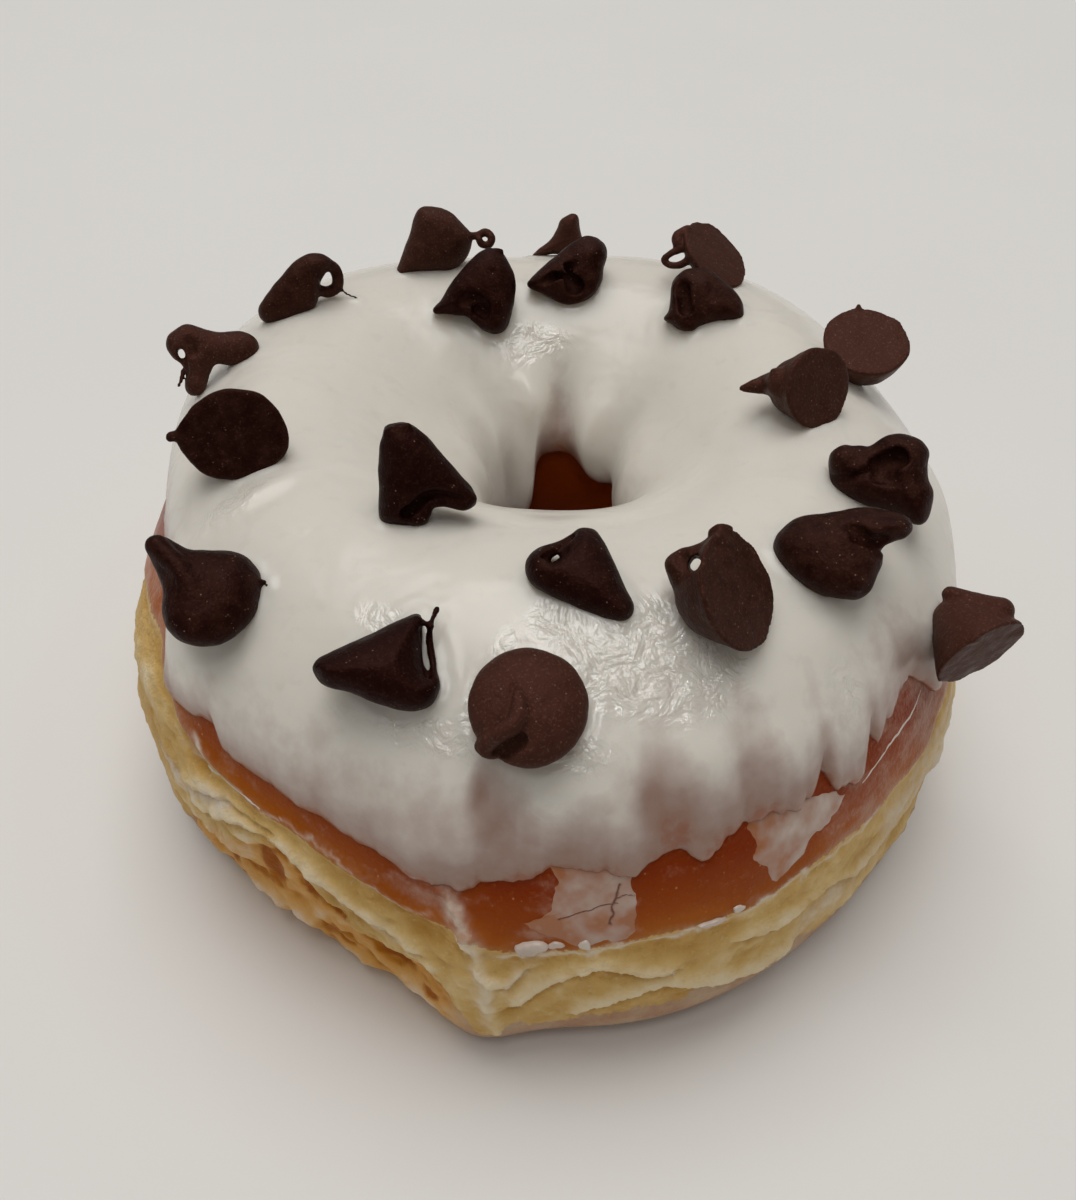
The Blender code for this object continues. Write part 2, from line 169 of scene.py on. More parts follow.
# The ridge of the pinched corner, and how far it stands out and reaches to each side.
CORNER_RIDGE = ((260.0, 6.0), (261.6, 4.7), (262.8, 3.1), (263.7, 0.6), (264.7, -2.6), (265.6, -10.4))
RIDGE_HEIGHT, RIDGE_WIDTH = 0.7, 0.7
# Pits in the torn flank: clock, reach, both spreads, depth.
PITS = (
    (228.0, -6.4, 1.0, 1.6, 0.55), (236.6, -2.2, 1.6, 2.0, 0.85), (242.5, -3.2, 0.9, 1.2, 0.5),
    (247.0, -3.8, 1.6, 1.0, 0.5), (253.6, -6.8, 2.2, 0.9, 0.5), (258.2, -8.6, 1.4, 0.8, 0.35),
)

# The chips, each in axes that follow a viewer's line of sight to it: across, up and towards the eye,
# in mm from the middle of the chip's solid. Each is a list of shapes, joined or cut in turn:
# "lump", an outline filled out as a pillow, as (front height, its roll-off, back depth, roll-off,
# lean towards the eye per mm up); "kiss", a flat round base that narrows to a tip, as (base middle,
# ahead, base radius, length, tip radius, fullness); "bead", a round thread on the face through
# (across, up, lift) points, with its radius; "dent", the same but cut away; and "hole", cut right
# through from (across, up) to (across, up). The last numbers are how deep the chip has sunk and how
# light it is, from 0 to 1: partly real dust and partly painted light, higher on the chips that face
# the lamps.
CHIPS = (
    ((
        ("lump", ((-4.35, -2.0), (-4.2, -3.2), (-3.0, -3.7), (-1.4, -3.5), (0.3, -2.8), (1.6, -2.0),
                  (2.1, -0.7), (2.4, 0.8), (3.1, 2.0), (3.5, 2.9), (2.6, 3.6), (1.2, 3.65), (-0.2, 3.0),
                  (-1.6, 1.6), (-3.2, -0.3)), (1.7, 1.9, 2.0, 1.8, 0.10)),
        ("bead", ((2.6, 2.7, -0.7), (3.7, 2.2, -0.9), (4.15, 1.2, -1.1), (4.0, 0.2, -1.3),
                  (3.1, -0.35, -1.3), (2.2, -0.2, -0.9)), 0.62),
        ("dent", ((1.9, 2.0, 0.0), (2.5, 0.9, 0.1), (2.6, 0.2, 0.1)), 0.35),
        ("bead", ((4.2, 0.2, 0.0), (5.0, -0.5, 0.0), (6.2, -1.0, 0.0)), 0.13),
    ), 0.60, 0.50),
    ((
        ("lump", ((-5.4, 2.0), (-5.2, 3.1), (-4.4, 3.8), (-3.2, 4.3), (-1.5, 3.9), (0.0, 3.6), (2.0, 3.7),
                  (3.3, 3.2), (3.9, 2.2), (3.7, 1.1), (2.6, 0.35), (1.0, 0.1), (-0.5, 0.2), (-1.2, -0.7),
                  (-1.6, -1.9), (-2.1, -2.7), (-3.2, -2.9), (-3.8, -2.1), (-3.6, -0.6), (-4.0, 0.3),
                  (-4.9, 1.0)), (1.5, 1.6, 2.2, 1.8, -0.10)),
        ("hole", ((-3.95, 1.5), (-3.85, 1.2)), 0.36),
        ("dent", ((-3.7, 0.9, 0.0), (-3.5, -0.3, 0.1), (-3.9, -0.9, 0.1)), 0.38),
        ("dent", ((-3.0, 2.7, 0.2), (-2.7, 1.5, 0.1)), 0.5),
        ("bead", ((-3.9, -0.4, -0.3), (-4.1, -1.3, -0.3), (-4.35, -1.9, -0.3)), 0.22),
    ), 0.80, 0.70),
    ((
        ("lump", ((-0.4, 2.2), (1.9, 1.7), (3.4, 0.3), (4.2, -1.6), (4.1, -3.3), (2.7, -4.8), (0.7, -5.7),
                  (-1.2, -5.9), (-3.0, -5.5), (-4.6, -4.0), (-5.45, -2.0), (-4.7, -0.3), (-3.3, 1.1),
                  (-1.9, 1.9)), (0.35, 0.5, 4.2, 4.0, 0.20)),
        ("bead", ((-5.1, -2.0, -0.4), (-5.75, -2.0, -0.4), (-5.9, -2.1, -0.4)), 0.40),
    ), 0.95, 0.30),
    ((
        ("lump", ((-4.85, 1.8), (-4.7, 2.7), (-3.9, 3.0), (-2.9, 2.5), (-1.7, 1.95), (0.0, 1.8), (1.5, 1.8),
                  (2.6, 1.45), (3.5, 0.6), (4.15, -0.7), (4.0, -2.3), (3.2, -4.0), (1.6, -5.6),
                  (-0.4, -6.1), (-2.3, -5.7), (-3.5, -4.5), (-3.85, -3.0), (-3.75, -1.6), (-4.1, -0.4),
                  (-4.6, 0.7)), (2.6, 3.4, 3.0, 3.0, -0.35)),
        ("bead", ((-4.2, 2.1, -0.6), (-2.8, 0.6, -0.62), (-1.6, -1.2, -0.66), (-0.6, -2.8, -0.9)), 0.90),
        ("bead", ((4.0, -0.9, -0.1), (4.45, -0.95, 0.1), (4.6, -1.2, 0.2)), 0.26),
    ), 1.20, 0.22),
    ((
        ("lump", ((-3.6, 2.9), (-3.3, 3.7), (-2.3, 3.95), (-1.2, 3.8), (0.0, 3.0), (1.0, 1.9), (2.2, 0.5),
                  (3.4, -0.9), (4.2, -2.0), (4.25, -2.9), (3.3, -3.5), (2.0, -3.25), (0.9, -3.0),
                  (0.4, -3.7), (0.0, -4.6), (-0.7, -5.0), (-2.0, -4.95), (-3.4, -4.7), (-4.0, -4.0),
                  (-4.0, -2.0), (-4.0, 0.5), (-3.9, 2.0)), (2.3, 2.6, 2.6, 2.4, 0.15)),
        ("dent", ((-1.5, -3.5, -0.3), (-0.9, -2.9, -0.6), (0.1, -2.2, -0.3), (1.6, -2.2, 0.0),
                  (3.0, -2.4, 0.0)), (0.75, 0.35)),
        ("bead", ((-1.0, -4.2, -0.1), (-0.2, -4.0, -0.1), (0.4, -2.9, -0.1), (1.6, -2.75, -0.2),
                  (3.2, -3.0, -0.2), (3.9, -2.4, -0.2)), 0.42),
        ("bead", ((-3.2, 3.0, -0.1), (-2.3, 3.4, -0.1), (-1.5, 3.5, -0.1)), 0.42),
    ), 1.05, 0.12),
    ((
        ("lump", ((-4.35, -0.7), (-4.2, 0.0), (-3.5, 0.5), (-1.5, 1.5), (0.5, 2.4), (2.4, 3.3), (3.6, 3.75),
                  (4.0, 3.1), (4.0, 1.0), (4.3, -0.6), (5.2, -1.2), (5.3, -2.2), (4.7, -3.3), (3.6, -3.8),
                  (2.4, -3.75), (0.6, -3.2), (-1.6, -2.4), (-3.5, -1.9)), (2.7, 3.2, 2.8, 2.6, -0.30)),
        ("dent", ((3.9, 2.2, -0.2), (4.05, 0.6, -0.3), (4.35, -1.2, -0.3)), 0.30),
        ("bead", ((4.9, -1.6, -0.3), (4.75, -0.2, 0.0), (4.5, 1.6, 0.2), (4.6, 2.9, 0.2),
                  (5.1, 4.1, 0.2)), 0.27),
        ("bead", ((3.5, 3.3, -0.3), (4.1, 3.0, 0.0), (4.6, 2.7, 0.2)), 0.25),
    ), 1.50, 0.00),
    ((
        ("lump", ((0.0, 5.5), (2.2, 4.9), (3.9, 3.3), (4.5, 1.0), (3.9, -1.2), (2.3, -2.9), (0.0, -3.5),
                  (-2.2, -2.9), (-3.9, -1.2), (-4.5, 1.0), (-3.9, 3.3), (-2.2, 4.9)),
         (2.0, 4.2, 3.0, 3.2, -0.25)),
        ("dent", ((-0.8, -1.4, -0.1), (-2.1, -2.2, -0.3), (-3.4, -2.6, -0.2)), 0.75),
        ("bead", ((-0.9, 1.7, -0.1), (-0.7, 0.5, 0.0), (-1.1, -0.4, 0.1), (-2.2, -1.1, 0.2),
                  (-3.3, -1.9, 0.1)), 0.70),
        ("dent", ((-1.1, 2.5, 0.0), (-1.5, 1.0, 0.0), (-2.1, -0.2, 0.0), (-3.2, -1.4, 0.0)), 0.17),
        ("bead", ((-3.4, -2.0, -0.2), (-3.2, -2.5, -0.2), (-2.6, -2.6, -0.2)), 0.30),
    ), 1.40, 0.80),
    ((
        ("lump", ((-4.3, -0.5), (-3.9, 0.6), (-3.0, 1.2), (-1.6, 1.6), (-0.7, 2.2), (0.1, 2.7), (1.2, 2.5),
                  (2.1, 1.4), (2.9, -0.2), (3.6, -1.9), (4.25, -3.5), (4.0, -4.4), (3.2, -4.7), (1.6, -4.4),
                  (-0.7, -3.4), (-2.6, -2.6), (-3.9, -1.7)), (2.5, 2.8, 2.6, 2.6, -0.35)),
        ("dent", ((-2.7, 0.3, -0.3), (-1.7, 0.9, -0.4), (-0.7, 1.9, -0.2)), 0.36),
        ("dent", ((-2.2, 0.2, 0.2), (-1.2, 0.9, 0.1)), 0.45),
        ("hole", ((-2.15, 0.05), (-1.75, 0.35)), 0.24),
    ), 1.50, 0.15),
    ((
        ("kiss", (1.3, -0.85, 0.6), (-0.81, -0.187, -0.556), 4.85, 5.0, 1.6, 0.62),
        ("lump", ((-4.4, 0.7), (-4.3, 1.7), (-3.2, 2.5), (-2.0, 2.8), (-0.9, 3.4), (0.0, 3.9), (1.0, 2.0),
                  (1.0, -2.0), (0.9, -4.4), (-0.2, -4.0), (-1.9, -2.5), (-3.6, -1.1)),
         (1.6, 1.8, 2.6, 2.0, 0.1)),
        ("hole", ((-2.15, 1.05), (-1.95, 1.35)), 0.40),
        ("dent", ((-3.2, 2.0, 0.1), (-2.9, 1.2, 0.1), (-2.5, 0.9, 0.2)), 0.48),
        ("bead", ((-0.8, 3.6, -0.2), (-0.2, 4.0, 0.0), (0.5, 3.9, -0.1)), 0.34),
    ), 1.20, 0.60),
    ((
        ("lump", ((-5.4, -0.5), (-4.9, 0.8), (-3.3, 2.0), (-1.2, 2.3), (0.8, 2.7), (2.4, 2.75), (4.2, 2.4),
                  (5.4, 1.8), (5.7, 1.0), (5.2, 0.3), (4.4, 0.0), (3.6, -0.4), (3.2, -1.0), (3.4, -1.7),
                  (3.1, -2.7), (2.6, -3.9), (1.8, -4.6), (0.6, -4.8), (-1.2, -4.5), (-3.3, -3.5),
                  (-4.8, -2.0)), (2.6, 2.8, 2.6, 2.6, -0.30)),
        ("dent", ((1.4, 0.4, -0.1), (2.4, 0.0, -0.1), (3.4, -0.1, 0.0)), 0.60),
        ("dent", ((0.6, 1.2, 0.3), (1.6, 0.6, 0.3)), 0.50),
        ("bead", ((2.9, -0.9, -0.1), (3.2, -1.2, -0.1)), 0.28),
        ("bead", ((1.2, -3.8, 0.0), (1.5, -3.8, 0.0)), 0.20),
        ("bead", ((0.2, -0.1, 0.0), (0.5, 0.4, 0.0)), 0.16),
    ), 1.40, 0.30),
    ((
        ("lump", ((-4.1, 0.6), (-3.8, 1.6), (-2.8, 2.2), (-1.6, 2.0), (-0.6, 2.1), (0.8, 2.9), (2.3, 3.05),
                  (3.6, 2.6), (4.35, 1.6), (4.4, 0.4), (4.5, -0.8), (4.9, -2.0), (4.8, -3.6), (4.2, -4.7),
                  (3.3, -4.8), (2.2, -4.0), (0.8, -3.5), (-0.4, -3.3), (-1.7, -2.8), (-2.8, -2.2),
                  (-3.7, -1.3), (-4.0, -0.4)), (2.3, 2.2, 2.4, 2.2, -0.10)),
        ("bead", ((-2.6, 0.8, -1.0), (-1.4, 0.9, -1.1)), 1.25),
        ("dent", ((-4.2, -0.75, 0.0), (-2.7, -0.8, 0.0), (-1.3, -0.4, 0.0), (0.2, 0.3, 0.1)), 0.40),
        ("dent", ((0.5, 0.4, -0.1), (1.7, 0.9, -0.4)), 1.0),
        ("dent", ((0.3, -0.5, 0.1), (1.4, -0.7, 0.2)), 0.7),
    ), 0.90, 0.30),
    ((
        ("kiss", (-0.5, -1.9, 0.0), (-0.546, 0.780, -0.305), 4.3, 5.7, 1.0, 0.80),
        ("bead", ((-3.0, 3.2, -0.7), (-1.2, 2.5, -0.9), (1.0, 1.8, -1.0)), (0.7, 1.2)),
        ("bead", ((-1.1, -0.8, 0.0), (-0.8, -0.8, 0.0)), 0.22),
        ("bead", ((-0.6, 1.0, 0.0), (-0.5, 1.3, 0.0)), 0.18),
    ), 0.45, 1.00),
    ((
        ("kiss", (3.0, -0.3, 0.0), (-0.640, 0.05, -0.768), 3.8, 5.2, 2.0, 0.8),
        ("bead", ((-0.4, 0.2, -1.4), (-1.6, 0.1, -1.0), (-2.8, -0.1, -0.6), (-4.2, -0.3, -0.4)),
         (1.5, 0.25)),
        ("bead", ((-0.9, 1.2, -0.2), (-1.2, 1.2, -0.2)), 0.35),
    ), 0.50, 0.80),
    ((
        ("kiss", (0.0, 1.25, 0.0), (-0.17, -0.65, -0.74), 4.35, 4.0, 2.5, 0.6),
        ("bead", ((-0.9, 4.4, -0.1), (-1.0, 4.65, -0.1)), 0.24),
    ), 0.30, 0.90),
    ((
        ("lump", ((-0.7, 3.3), (0.7, 3.0), (2.0, 2.0), (3.3, 0.8), (4.2, -0.5), (4.35, -1.9), (3.4, -2.4),
                  (1.6, -2.4), (0.0, -2.8), (-1.3, -3.4), (-2.6, -3.2), (-3.4, -2.6), (-4.2, -2.1),
                  (-3.7, -1.3), (-3.65, 0.2), (-3.4, 1.8), (-2.3, 3.0)), (2.3, 2.4, 2.6, 2.4, -0.20)),
        ("dent", ((-2.4, 1.2, 0.1), (-2.0, 0.1, -0.5), (-1.8, -1.0, -0.4)), 0.85),
        ("bead", ((0.8, -0.7, 0.0), (1.3, -0.6, 0.0)), 0.22),
        ("bead", ((-2.0, -2.6, -0.3), (-1.2, -2.7, -0.3)), 0.60),
    ), 1.20, 0.35),
    ((
        ("kiss", (1.65, -0.1, 0.0), (-0.63, -0.58, -0.52), 4.4, 1.7, 3.3, 0.6),
        ("bead", ((-1.6, 2.4, -0.5), (-2.6, 1.8, -0.4), (-2.6, 0.9, -0.3)), 0.55),
        ("bead", ((-2.3, 0.4, -0.2), (-3.2, 0.0, 0.0), (-4.0, -0.7, 0.0), (-3.4, -1.3, 0.0),
                  (-2.3, -1.3, -0.1), (-1.5, -0.9, -0.2)), 0.42),
    ), 0.10, 0.90),
    ((
        ("lump", ((-4.6, -1.7), (-3.6, -0.5), (-2.2, 0.7), (-0.5, 2.0), (0.8, 2.9), (2.0, 3.4), (3.2, 3.2),
                  (4.1, 2.4), (4.35, 1.3), (4.0, 0.0), (3.7, -1.4), (2.9, -2.8), (1.8, -3.6), (0.5, -4.0),
                  (-0.8, -3.8), (-2.3, -3.0), (-3.6, -2.2)), (2.2, 2.2, 2.6, 2.2, -0.20)),
        ("dent", ((-2.7, -1.5, 0.0), (-1.3, -1.0, -0.6), (-0.1, -1.1, -0.8), (0.6, -1.8, -0.5)),
         (0.5, 1.1)),
        ("dent", ((-0.8, -0.4, 0.0), (0.5, 0.3, 0.1)), 0.6),
        ("bead", ((-4.2, -1.8, -0.2), (-2.2, -2.6, -0.2), (-0.6, -3.4, -0.3), (1.2, -3.3, -0.3),
                  (2.6, -2.2, -0.3)), 0.45),
    ), 1.20, 0.30),
    ((
        ("lump", ((0.0, 2.6), (0.8, 2.8), (1.4, 2.4), (1.6, 1.2), (2.0, 0.0), (2.7, -1.0), (2.4, -2.0),
                  (0.4, -2.0), (-1.7, -1.85), (-3.2, -2.2), (-4.3, -2.3), (-3.4, -1.3), (-2.0, -0.2),
                  (-1.2, 1.0), (-0.8, 2.0)), (1.9, 2.2, 2.2, 2.2, 0.2)),
    ), 0.30, 0.90),
    ((
        ("lump", ((-4.8, -2.8), (-4.0, -1.7), (-3.2, -0.4), (-2.0, 1.2), (-0.8, 2.5), (0.6, 3.6),
                  (1.7, 3.9), (2.8, 3.4), (3.6, 2.3), (4.15, 0.9), (4.2, -0.9), (3.9, -2.8), (3.4, -4.4),
                  (2.6, -5.2), (1.4, -5.2), (0.3, -4.6), (-0.4, -3.8), (-1.3, -3.3), (-3.0, -3.1)),
         (2.3, 2.3, 2.6, 2.3, -0.15)),
        ("dent", ((0.2, -2.6, -0.6), (0.9, -3.0, -0.7)), 0.75),
        ("dent", ((-1.6, -1.7, 0.1), (-0.4, -1.5, -0.1), (0.7, -2.2, -0.2)), 0.85),
        ("bead", ((-4.4, -2.8, -0.2), (-2.6, -2.9, -0.2), (-1.0, -3.1, -0.2), (0.2, -4.0, -0.3),
                  (1.6, -4.6, -0.3)), 0.36),
        ("bead", ((2.0, 3.6, -0.1), (2.7, 3.5, -0.1)), 0.30),
    ), 1.10, 0.20),
    ((
        ("lump", ((-0.8, 4.1), (0.6, 3.9), (2.0, 3.2), (3.0, 2.2), (3.8, 1.2), (4.0, 0.0), (3.2, -1.6),
                  (1.6, -2.9), (-0.4, -3.1), (-1.9, -3.2), (-3.3, -3.5), (-4.7, -3.75), (-4.6, -2.8),
                  (-3.8, -1.0), (-3.1, 0.8), (-2.6, 2.5), (-1.9, 3.8)), (2.4, 2.6, 2.6, 2.6, 0.1)),
        ("bead", ((2.9, 1.0, -0.6), (4.0, 0.9, 0.0), (4.8, 1.0, 0.0), (5.6, 1.3, 0.0), (6.2, 0.7, 0.0),
                  (5.9, 0.0, 0.0), (5.1, 0.0, 0.0), (4.8, 0.5, 0.0)), 0.42),
    ), 0.75, 0.70),
)
CHIP_GRAIN_MM = 0.19
# How the icing rises where a chip has sunk in it: height, where it starts to fall away and how fast.
# Round the chips named, a low ring stands beyond that: its distance, height and spread.
SEAT_RISE, SEAT_START, SEAT_SPREAD, SEAT_SEARCH = 0.24, 0.2, 0.5, 9.0
RINGED_CHIPS, RING_DISTANCE, RING_HEIGHT, RING_SPREAD = (6, 7), 1.55, 0.13, 0.42

# How much sugar film there is on the crust: clock and share.
FILM = (
    (0, 0.45), (60, 0.25), (120, 0.35), (180, 0.40), (214, 0.50), (222, 0.24), (240, 0.10), (252, 0.18),
    (261, 0.22), (265, 0.02), (270, 0.0), (300, 0.0), (304, 0.20), (309, 0.35), (318, 0.45), (330, 0.60),
    (345, 0.55),
)
# Where it is thicker: clock, reach, both spreads, share.
FILM_SPOTS = (
    (269.5, 3.6, 2.6, 1.2, 0.65), (271.0, 6.4, 1.2, 1.6, 0.40), (279.5, 4.4, 1.0, 3.0, 0.35),
    (291.0, 3.0, 8.0, 0.7, 0.45), (304.0, 4.4, 5.0, 1.2, 0.45), (258.0, 4.2, 6.0, 1.4, 0.30),
    (240.0, 5.2, 16.0, 0.4, 0.30), (222.0, 8.4, 5.0, 1.2, 0.40), (284.0, 8.4, 3.0, 0.8, 0.30),
)
# Streaks of pale torn dough and dried glaze along (clock, reach) points, with half width and strength.
PALE_STREAKS = (
    (((259.4, 7.0), (260.6, 5.6), (261.9, 4.2), (262.9, 2.8), (263.7, 0.6), (264.6, -2.6), (265.2, -6.4),
      (265.6, -10.8)), 0.75, 1.0),
    (((266.0, -4.2), (267.4, -2.2), (268.8, -0.8), (270.6, 0.4)), 0.60, 1.0),
    (((219.0, 6.6), (224.8, 5.2), (228.6, 5.3), (233.1, 5.6), (237.0, 5.2), (241.0, 5.5), (246.7, 4.7),
      (250.6, 3.5), (255.6, 2.8), (260.0, 3.4)), 0.17, 0.65),
    (((223.0, 8.0), (227.0, 6.4), (229.0, 5.4)), 0.35, 1.0),
    (((264.0, 0.2), (270.0, 1.0), (277.0, 1.9), (283.0, 2.2), (290.0, 1.9), (297.0, 2.6), (305.0, 2.6),
      (312.0, 2.8)), 0.30, 1.0),
    (((214.0, 1.0), (221.0, -0.5), (228.0, 2.4), (233.0, 3.0)), 0.80, 1.0),
    (((316.0, 0.6), (326.0, 1.2), (336.0, 1.6), (348.0, 2.2)), 1.10, 0.55),
    (((243.0, 1.0), (248.0, -1.4), (253.0, -2.0), (257.0, -2.4)), 0.70, 1.0),
    (((312.0, 0.0), (320.0, -1.6), (328.0, -2.4), (338.0, -2.8)), 2.2, 0.75),
    (((298.0, -6.0), (305.0, -5.2), (312.0, -4.2), (320.0, -3.5)), 1.3, 0.70),
)

# How finely the surfaces are made: where their clocks gather and by what share, how many clocks each
# has, the dough's rows as (first reach, last reach, count), and the reach past which they have come
# out of the hole and under the foot.
FRONT_CLOCK, FRONT_GATHER = 268.0, 0.55
DOUGH_CLOCKS, ICING_CLOCKS = 580, 560
DOUGH_ROWS = ((-17, 13, 134), (14, 46, 8), (47, 70, 16), (74, 102, 8))
UNDER_REACH = 90
ICING_ROWS_OVER, ICING_ROWS_UNDER = 160, 12
# The degrees over which a fold or a streak grows from its ends.
ROUTE_FADE = (-0.5, 3)


# ---------------------------------------------------------------- numbers that shapes share

def smooth(x, low, high):
    """0 below low, 1 above high, and 3t^2 - 2t^3 between them."""
    t = np.clip((x - low) / (high - low), 0, 1)
    return t * t * (3 - 2 * t)


def turned(clock, centre):
    """Degrees from a centre to a clock, the short way round."""
    return (clock - centre + 180) % 360 - 180


def swell(clock, centre, spread):
    """A rise to 1 at a clock: e to the minus square of the distance over the spread."""
    return np.exp(-(turned(clock, centre) / spread) ** 2)


def blobs(clock, reach, spots):
    """The sum of soft spots, each a Gaussian in clock and in reach times its strength."""
    return sum(
        strength * swell(clock, at, wide) * np.exp(-((reach - up) / tall) ** 2)
        for at, up, wide, tall, strength in spots
    )


def thin_spots(clock, reach):
    """The sum of the thin spots, each falling off as a bell does: fast towards smaller clocks, where
    the next run of icing overlaps it, and slowly the other way."""
    total = 0.0
    for at, up, wide, tall, strength in THIN_SPOTS:
        off = turned(clock, at)
        wide = wide * np.where(off < 0, THIN_SHARP_SIDE, THIN_SOFT_SIDE)
        total = total + strength * np.exp(-(off / wide) ** 2 - ((reach - up) / tall) ** 2)
    return total


def scattered(corner, seed):
    """A value from -1 to 1 for each whole-number corner, always the same one for the same seed: its
    numbers are mixed by products with large primes and by shifts."""
    bits = 0x7FFFFFFF
    key = corner * np.array([73856093, 19349663, 83492791])
    mixed = (key[..., 0] ^ key[..., 1] ^ key[..., 2] ^ (seed * 40503 + 977)) & bits
    mixed = ((mixed ^ (mixed >> 13)) * 1274126177) & bits
    mixed = ((mixed ^ (mixed >> 16)) * 668265263) & bits
    return mixed / (bits >> 1) - 1


def noise(points, size, seed):
    """Smooth noise from -1 to 1: a scattered value at each corner of cubes of that size, blended by
    3t^2 - 2t^3 along each axis."""
    cell = points / np.asarray(size, float)
    base = np.floor(cell).astype(np.int64)
    part = smooth(cell - base, 0, 1)
    total = np.zeros(points.shape[:-1])
    for corner in np.ndindex(2, 2, 2):
        weight = np.prod(np.where(corner, part, 1 - part), axis=-1)
        total += weight * scattered(base + corner, seed)
    return total


def layered(points, size, seed, layers=3):
    """Noise upon noise, each layer half the size and half the height of the one before."""
    sizes = np.asarray(size, float)
    return sum(noise(points, sizes / 2 ** n, seed + n) / 2 ** n for n in range(layers))


def round_ring(clock, clocks, values):
    """A value at a clock, by straight runs between those given."""
    return np.interp(clock, clocks, values, period=360)


def edge_line(points, soften):
    """An edge round the ring: straight runs between its points, softened by a Gaussian average."""
    step, half = 0.1, 60
    clocks = np.arange(0, 360, step)
    reach = round_ring(clocks, *zip(*points))
    window = np.exp(-(np.arange(-half, half + 1) * step / soften) ** 2)
    around = np.concatenate([reach[-half:], reach, reach[:half]])
    return clocks, np.convolve(around, window / window.sum(), "valid")


def ridge(distance, height, place, spread):
    """A rounded rise: its height times e to the minus square of the distance over its spread."""
    return height * np.exp(-((distance - place) / spread) ** 2)


def flat(x, y):
    """Points in the plane of mm round the ring and reach, for noise."""
    return np.stack(np.broadcast_arrays(x, y, 0.0), axis=-1)


def run_length(points):
    """The distance along a line to each of its points."""
    return np.concatenate([[0], np.cumsum(np.hypot(*np.diff(points, axis=0).T))])


def route_distance(clock, reach, route):
    """Least distance in mm from a route of (clock, reach) points, positive on the side of larger
    reach as it runs towards larger clocks, and a weight that fades to nothing past its ends."""
    best = np.full(np.broadcast(clock, reach).shape, np.inf)
    side = np.ones_like(best)
    for (c0, r0), (c1, r1) in zip(route, route[1:]):
        run = np.array([turned(c1, c0) * MM_PER_DEGREE, r1 - r0])
        x, y = turned(clock, c0) * MM_PER_DEGREE, reach - r0
        along = np.clip((x * run[0] + y * run[1]) / (run @ run), 0, 1)
        off = np.hypot(x - along * run[0], y - along * run[1])
        nearer = off < best
        best = np.where(nearer, off, best)
        side = np.where(nearer, np.where(run[0] * y - run[1] * x >= 0, 1, -1), side)
    first, last = route[0][0], route[-1][0]
    within = smooth(turned(clock, first), *ROUTE_FADE) * smooth(turned(last, clock), *ROUTE_FADE)
    return best * side, within


def front_clocks(count):
    """Clocks all round, gathered towards the front: t minus a share of sin t."""
    t = np.linspace(0, 2 * np.pi, count, endpoint=False)
    return FRONT_CLOCK + np.degrees(t - FRONT_GATHER * np.sin(t))


# ---------------------------------------------------------------- the ring

def section_line(points=1200):
    """The ring's section as (reach, radius, height), one superellipse a quarter."""
    turn = np.linspace(0, np.pi / 2, points)
    rising, falling = np.sin(turn), np.cos(turn)
    falling[-1] = 0
    outer, inner = BELT_RADIUS - CREST_RADIUS, CREST_RADIUS - THROAT_RADIUS
    quarters = (
        (CREST_RADIUS + outer * falling ** (2 / SHOULDER_FULLNESS),
         BELT_HEIGHT + (CREST_HEIGHT - BELT_HEIGHT) * rising ** (2 / SHOULDER_FULLNESS)),
        (CREST_RADIUS - inner * rising ** (2 / INNER_FULLNESS),
         THROAT_HEIGHT + (CREST_HEIGHT - THROAT_HEIGHT) * falling ** (2 / INNER_FULLNESS)),
        (CREST_RADIUS - inner * falling ** (2 / HEEL_FULLNESS),
         THROAT_HEIGHT * (1 - rising ** (2 / HEEL_FULLNESS))),
        (CREST_RADIUS + outer * rising ** (2 / FOOT_FULLNESS),
         BELT_HEIGHT * (1 - falling ** (2 / FOOT_FULLNESS))),
    )
    radius, height = np.concatenate(quarters, axis=1)
    return run_length(np.stack([radius, height], axis=-1)), radius, height


SECTION = section_line()


def ring_point(clock, reach):
    """The section carried round the uneven plan, with the pressed flank and the pinched corner."""
    around = reach % SECTION[0][-1]
    radius = np.interp(around, SECTION[0], SECTION[1])
    height = np.interp(around, SECTION[0], SECTION[2])
    turn = np.radians(clock)
    waves = sum(c * np.cos(n * turn) + s * np.sin(n * turn) for n, c, s in PLAN_WAVES)
    outward = np.clip((radius - THROAT_RADIUS) / (BELT_RADIUS - THROAT_RADIUS), 0, 1)
    outside = np.clip((radius - INSIDE_RADIUS) / INSIDE_RADIUS, 0, 1)
    radius = radius * (1 + waves * outward)
    low = np.clip(1 - height / BELT_HEIGHT, 0, 1) ** PRESSED_FADE
    radius = radius - PRESSED_DEPTH * swell(clock, PRESSED_CLOCK, PRESSED_SPREAD) * low * outside
    pinched = np.clip(1 - height / PINCH_HEIGHT, 0, 1)
    radius = radius + PINCH_REACH * swell(clock, PINCH_CLOCK, PINCH_SPREAD) * pinched * outside
    x = radius * np.cos(turn) + HOLE_SHIFT[0] * (1 - outward)
    y = radius * np.sin(turn) + HOLE_SHIFT[1] * (1 - outward)
    return np.stack(np.broadcast_arrays(x, y, np.maximum(height - FOOT_FLAT, 0)), axis=-1)


def ring_normal(clock, reach, step=0.15):
    """The outward direction: the cross product of a short step round the ring and one over it."""
    turn = np.degrees(step / CREST_RADIUS)
    round_it = ring_point(clock + turn, reach) - ring_point(clock - turn, reach)
    over_it = ring_point(clock, reach + step) - ring_point(clock, reach - step)
    normal = np.cross(round_it, over_it)
    return normal / np.linalg.norm(normal, axis=-1, keepdims=True)


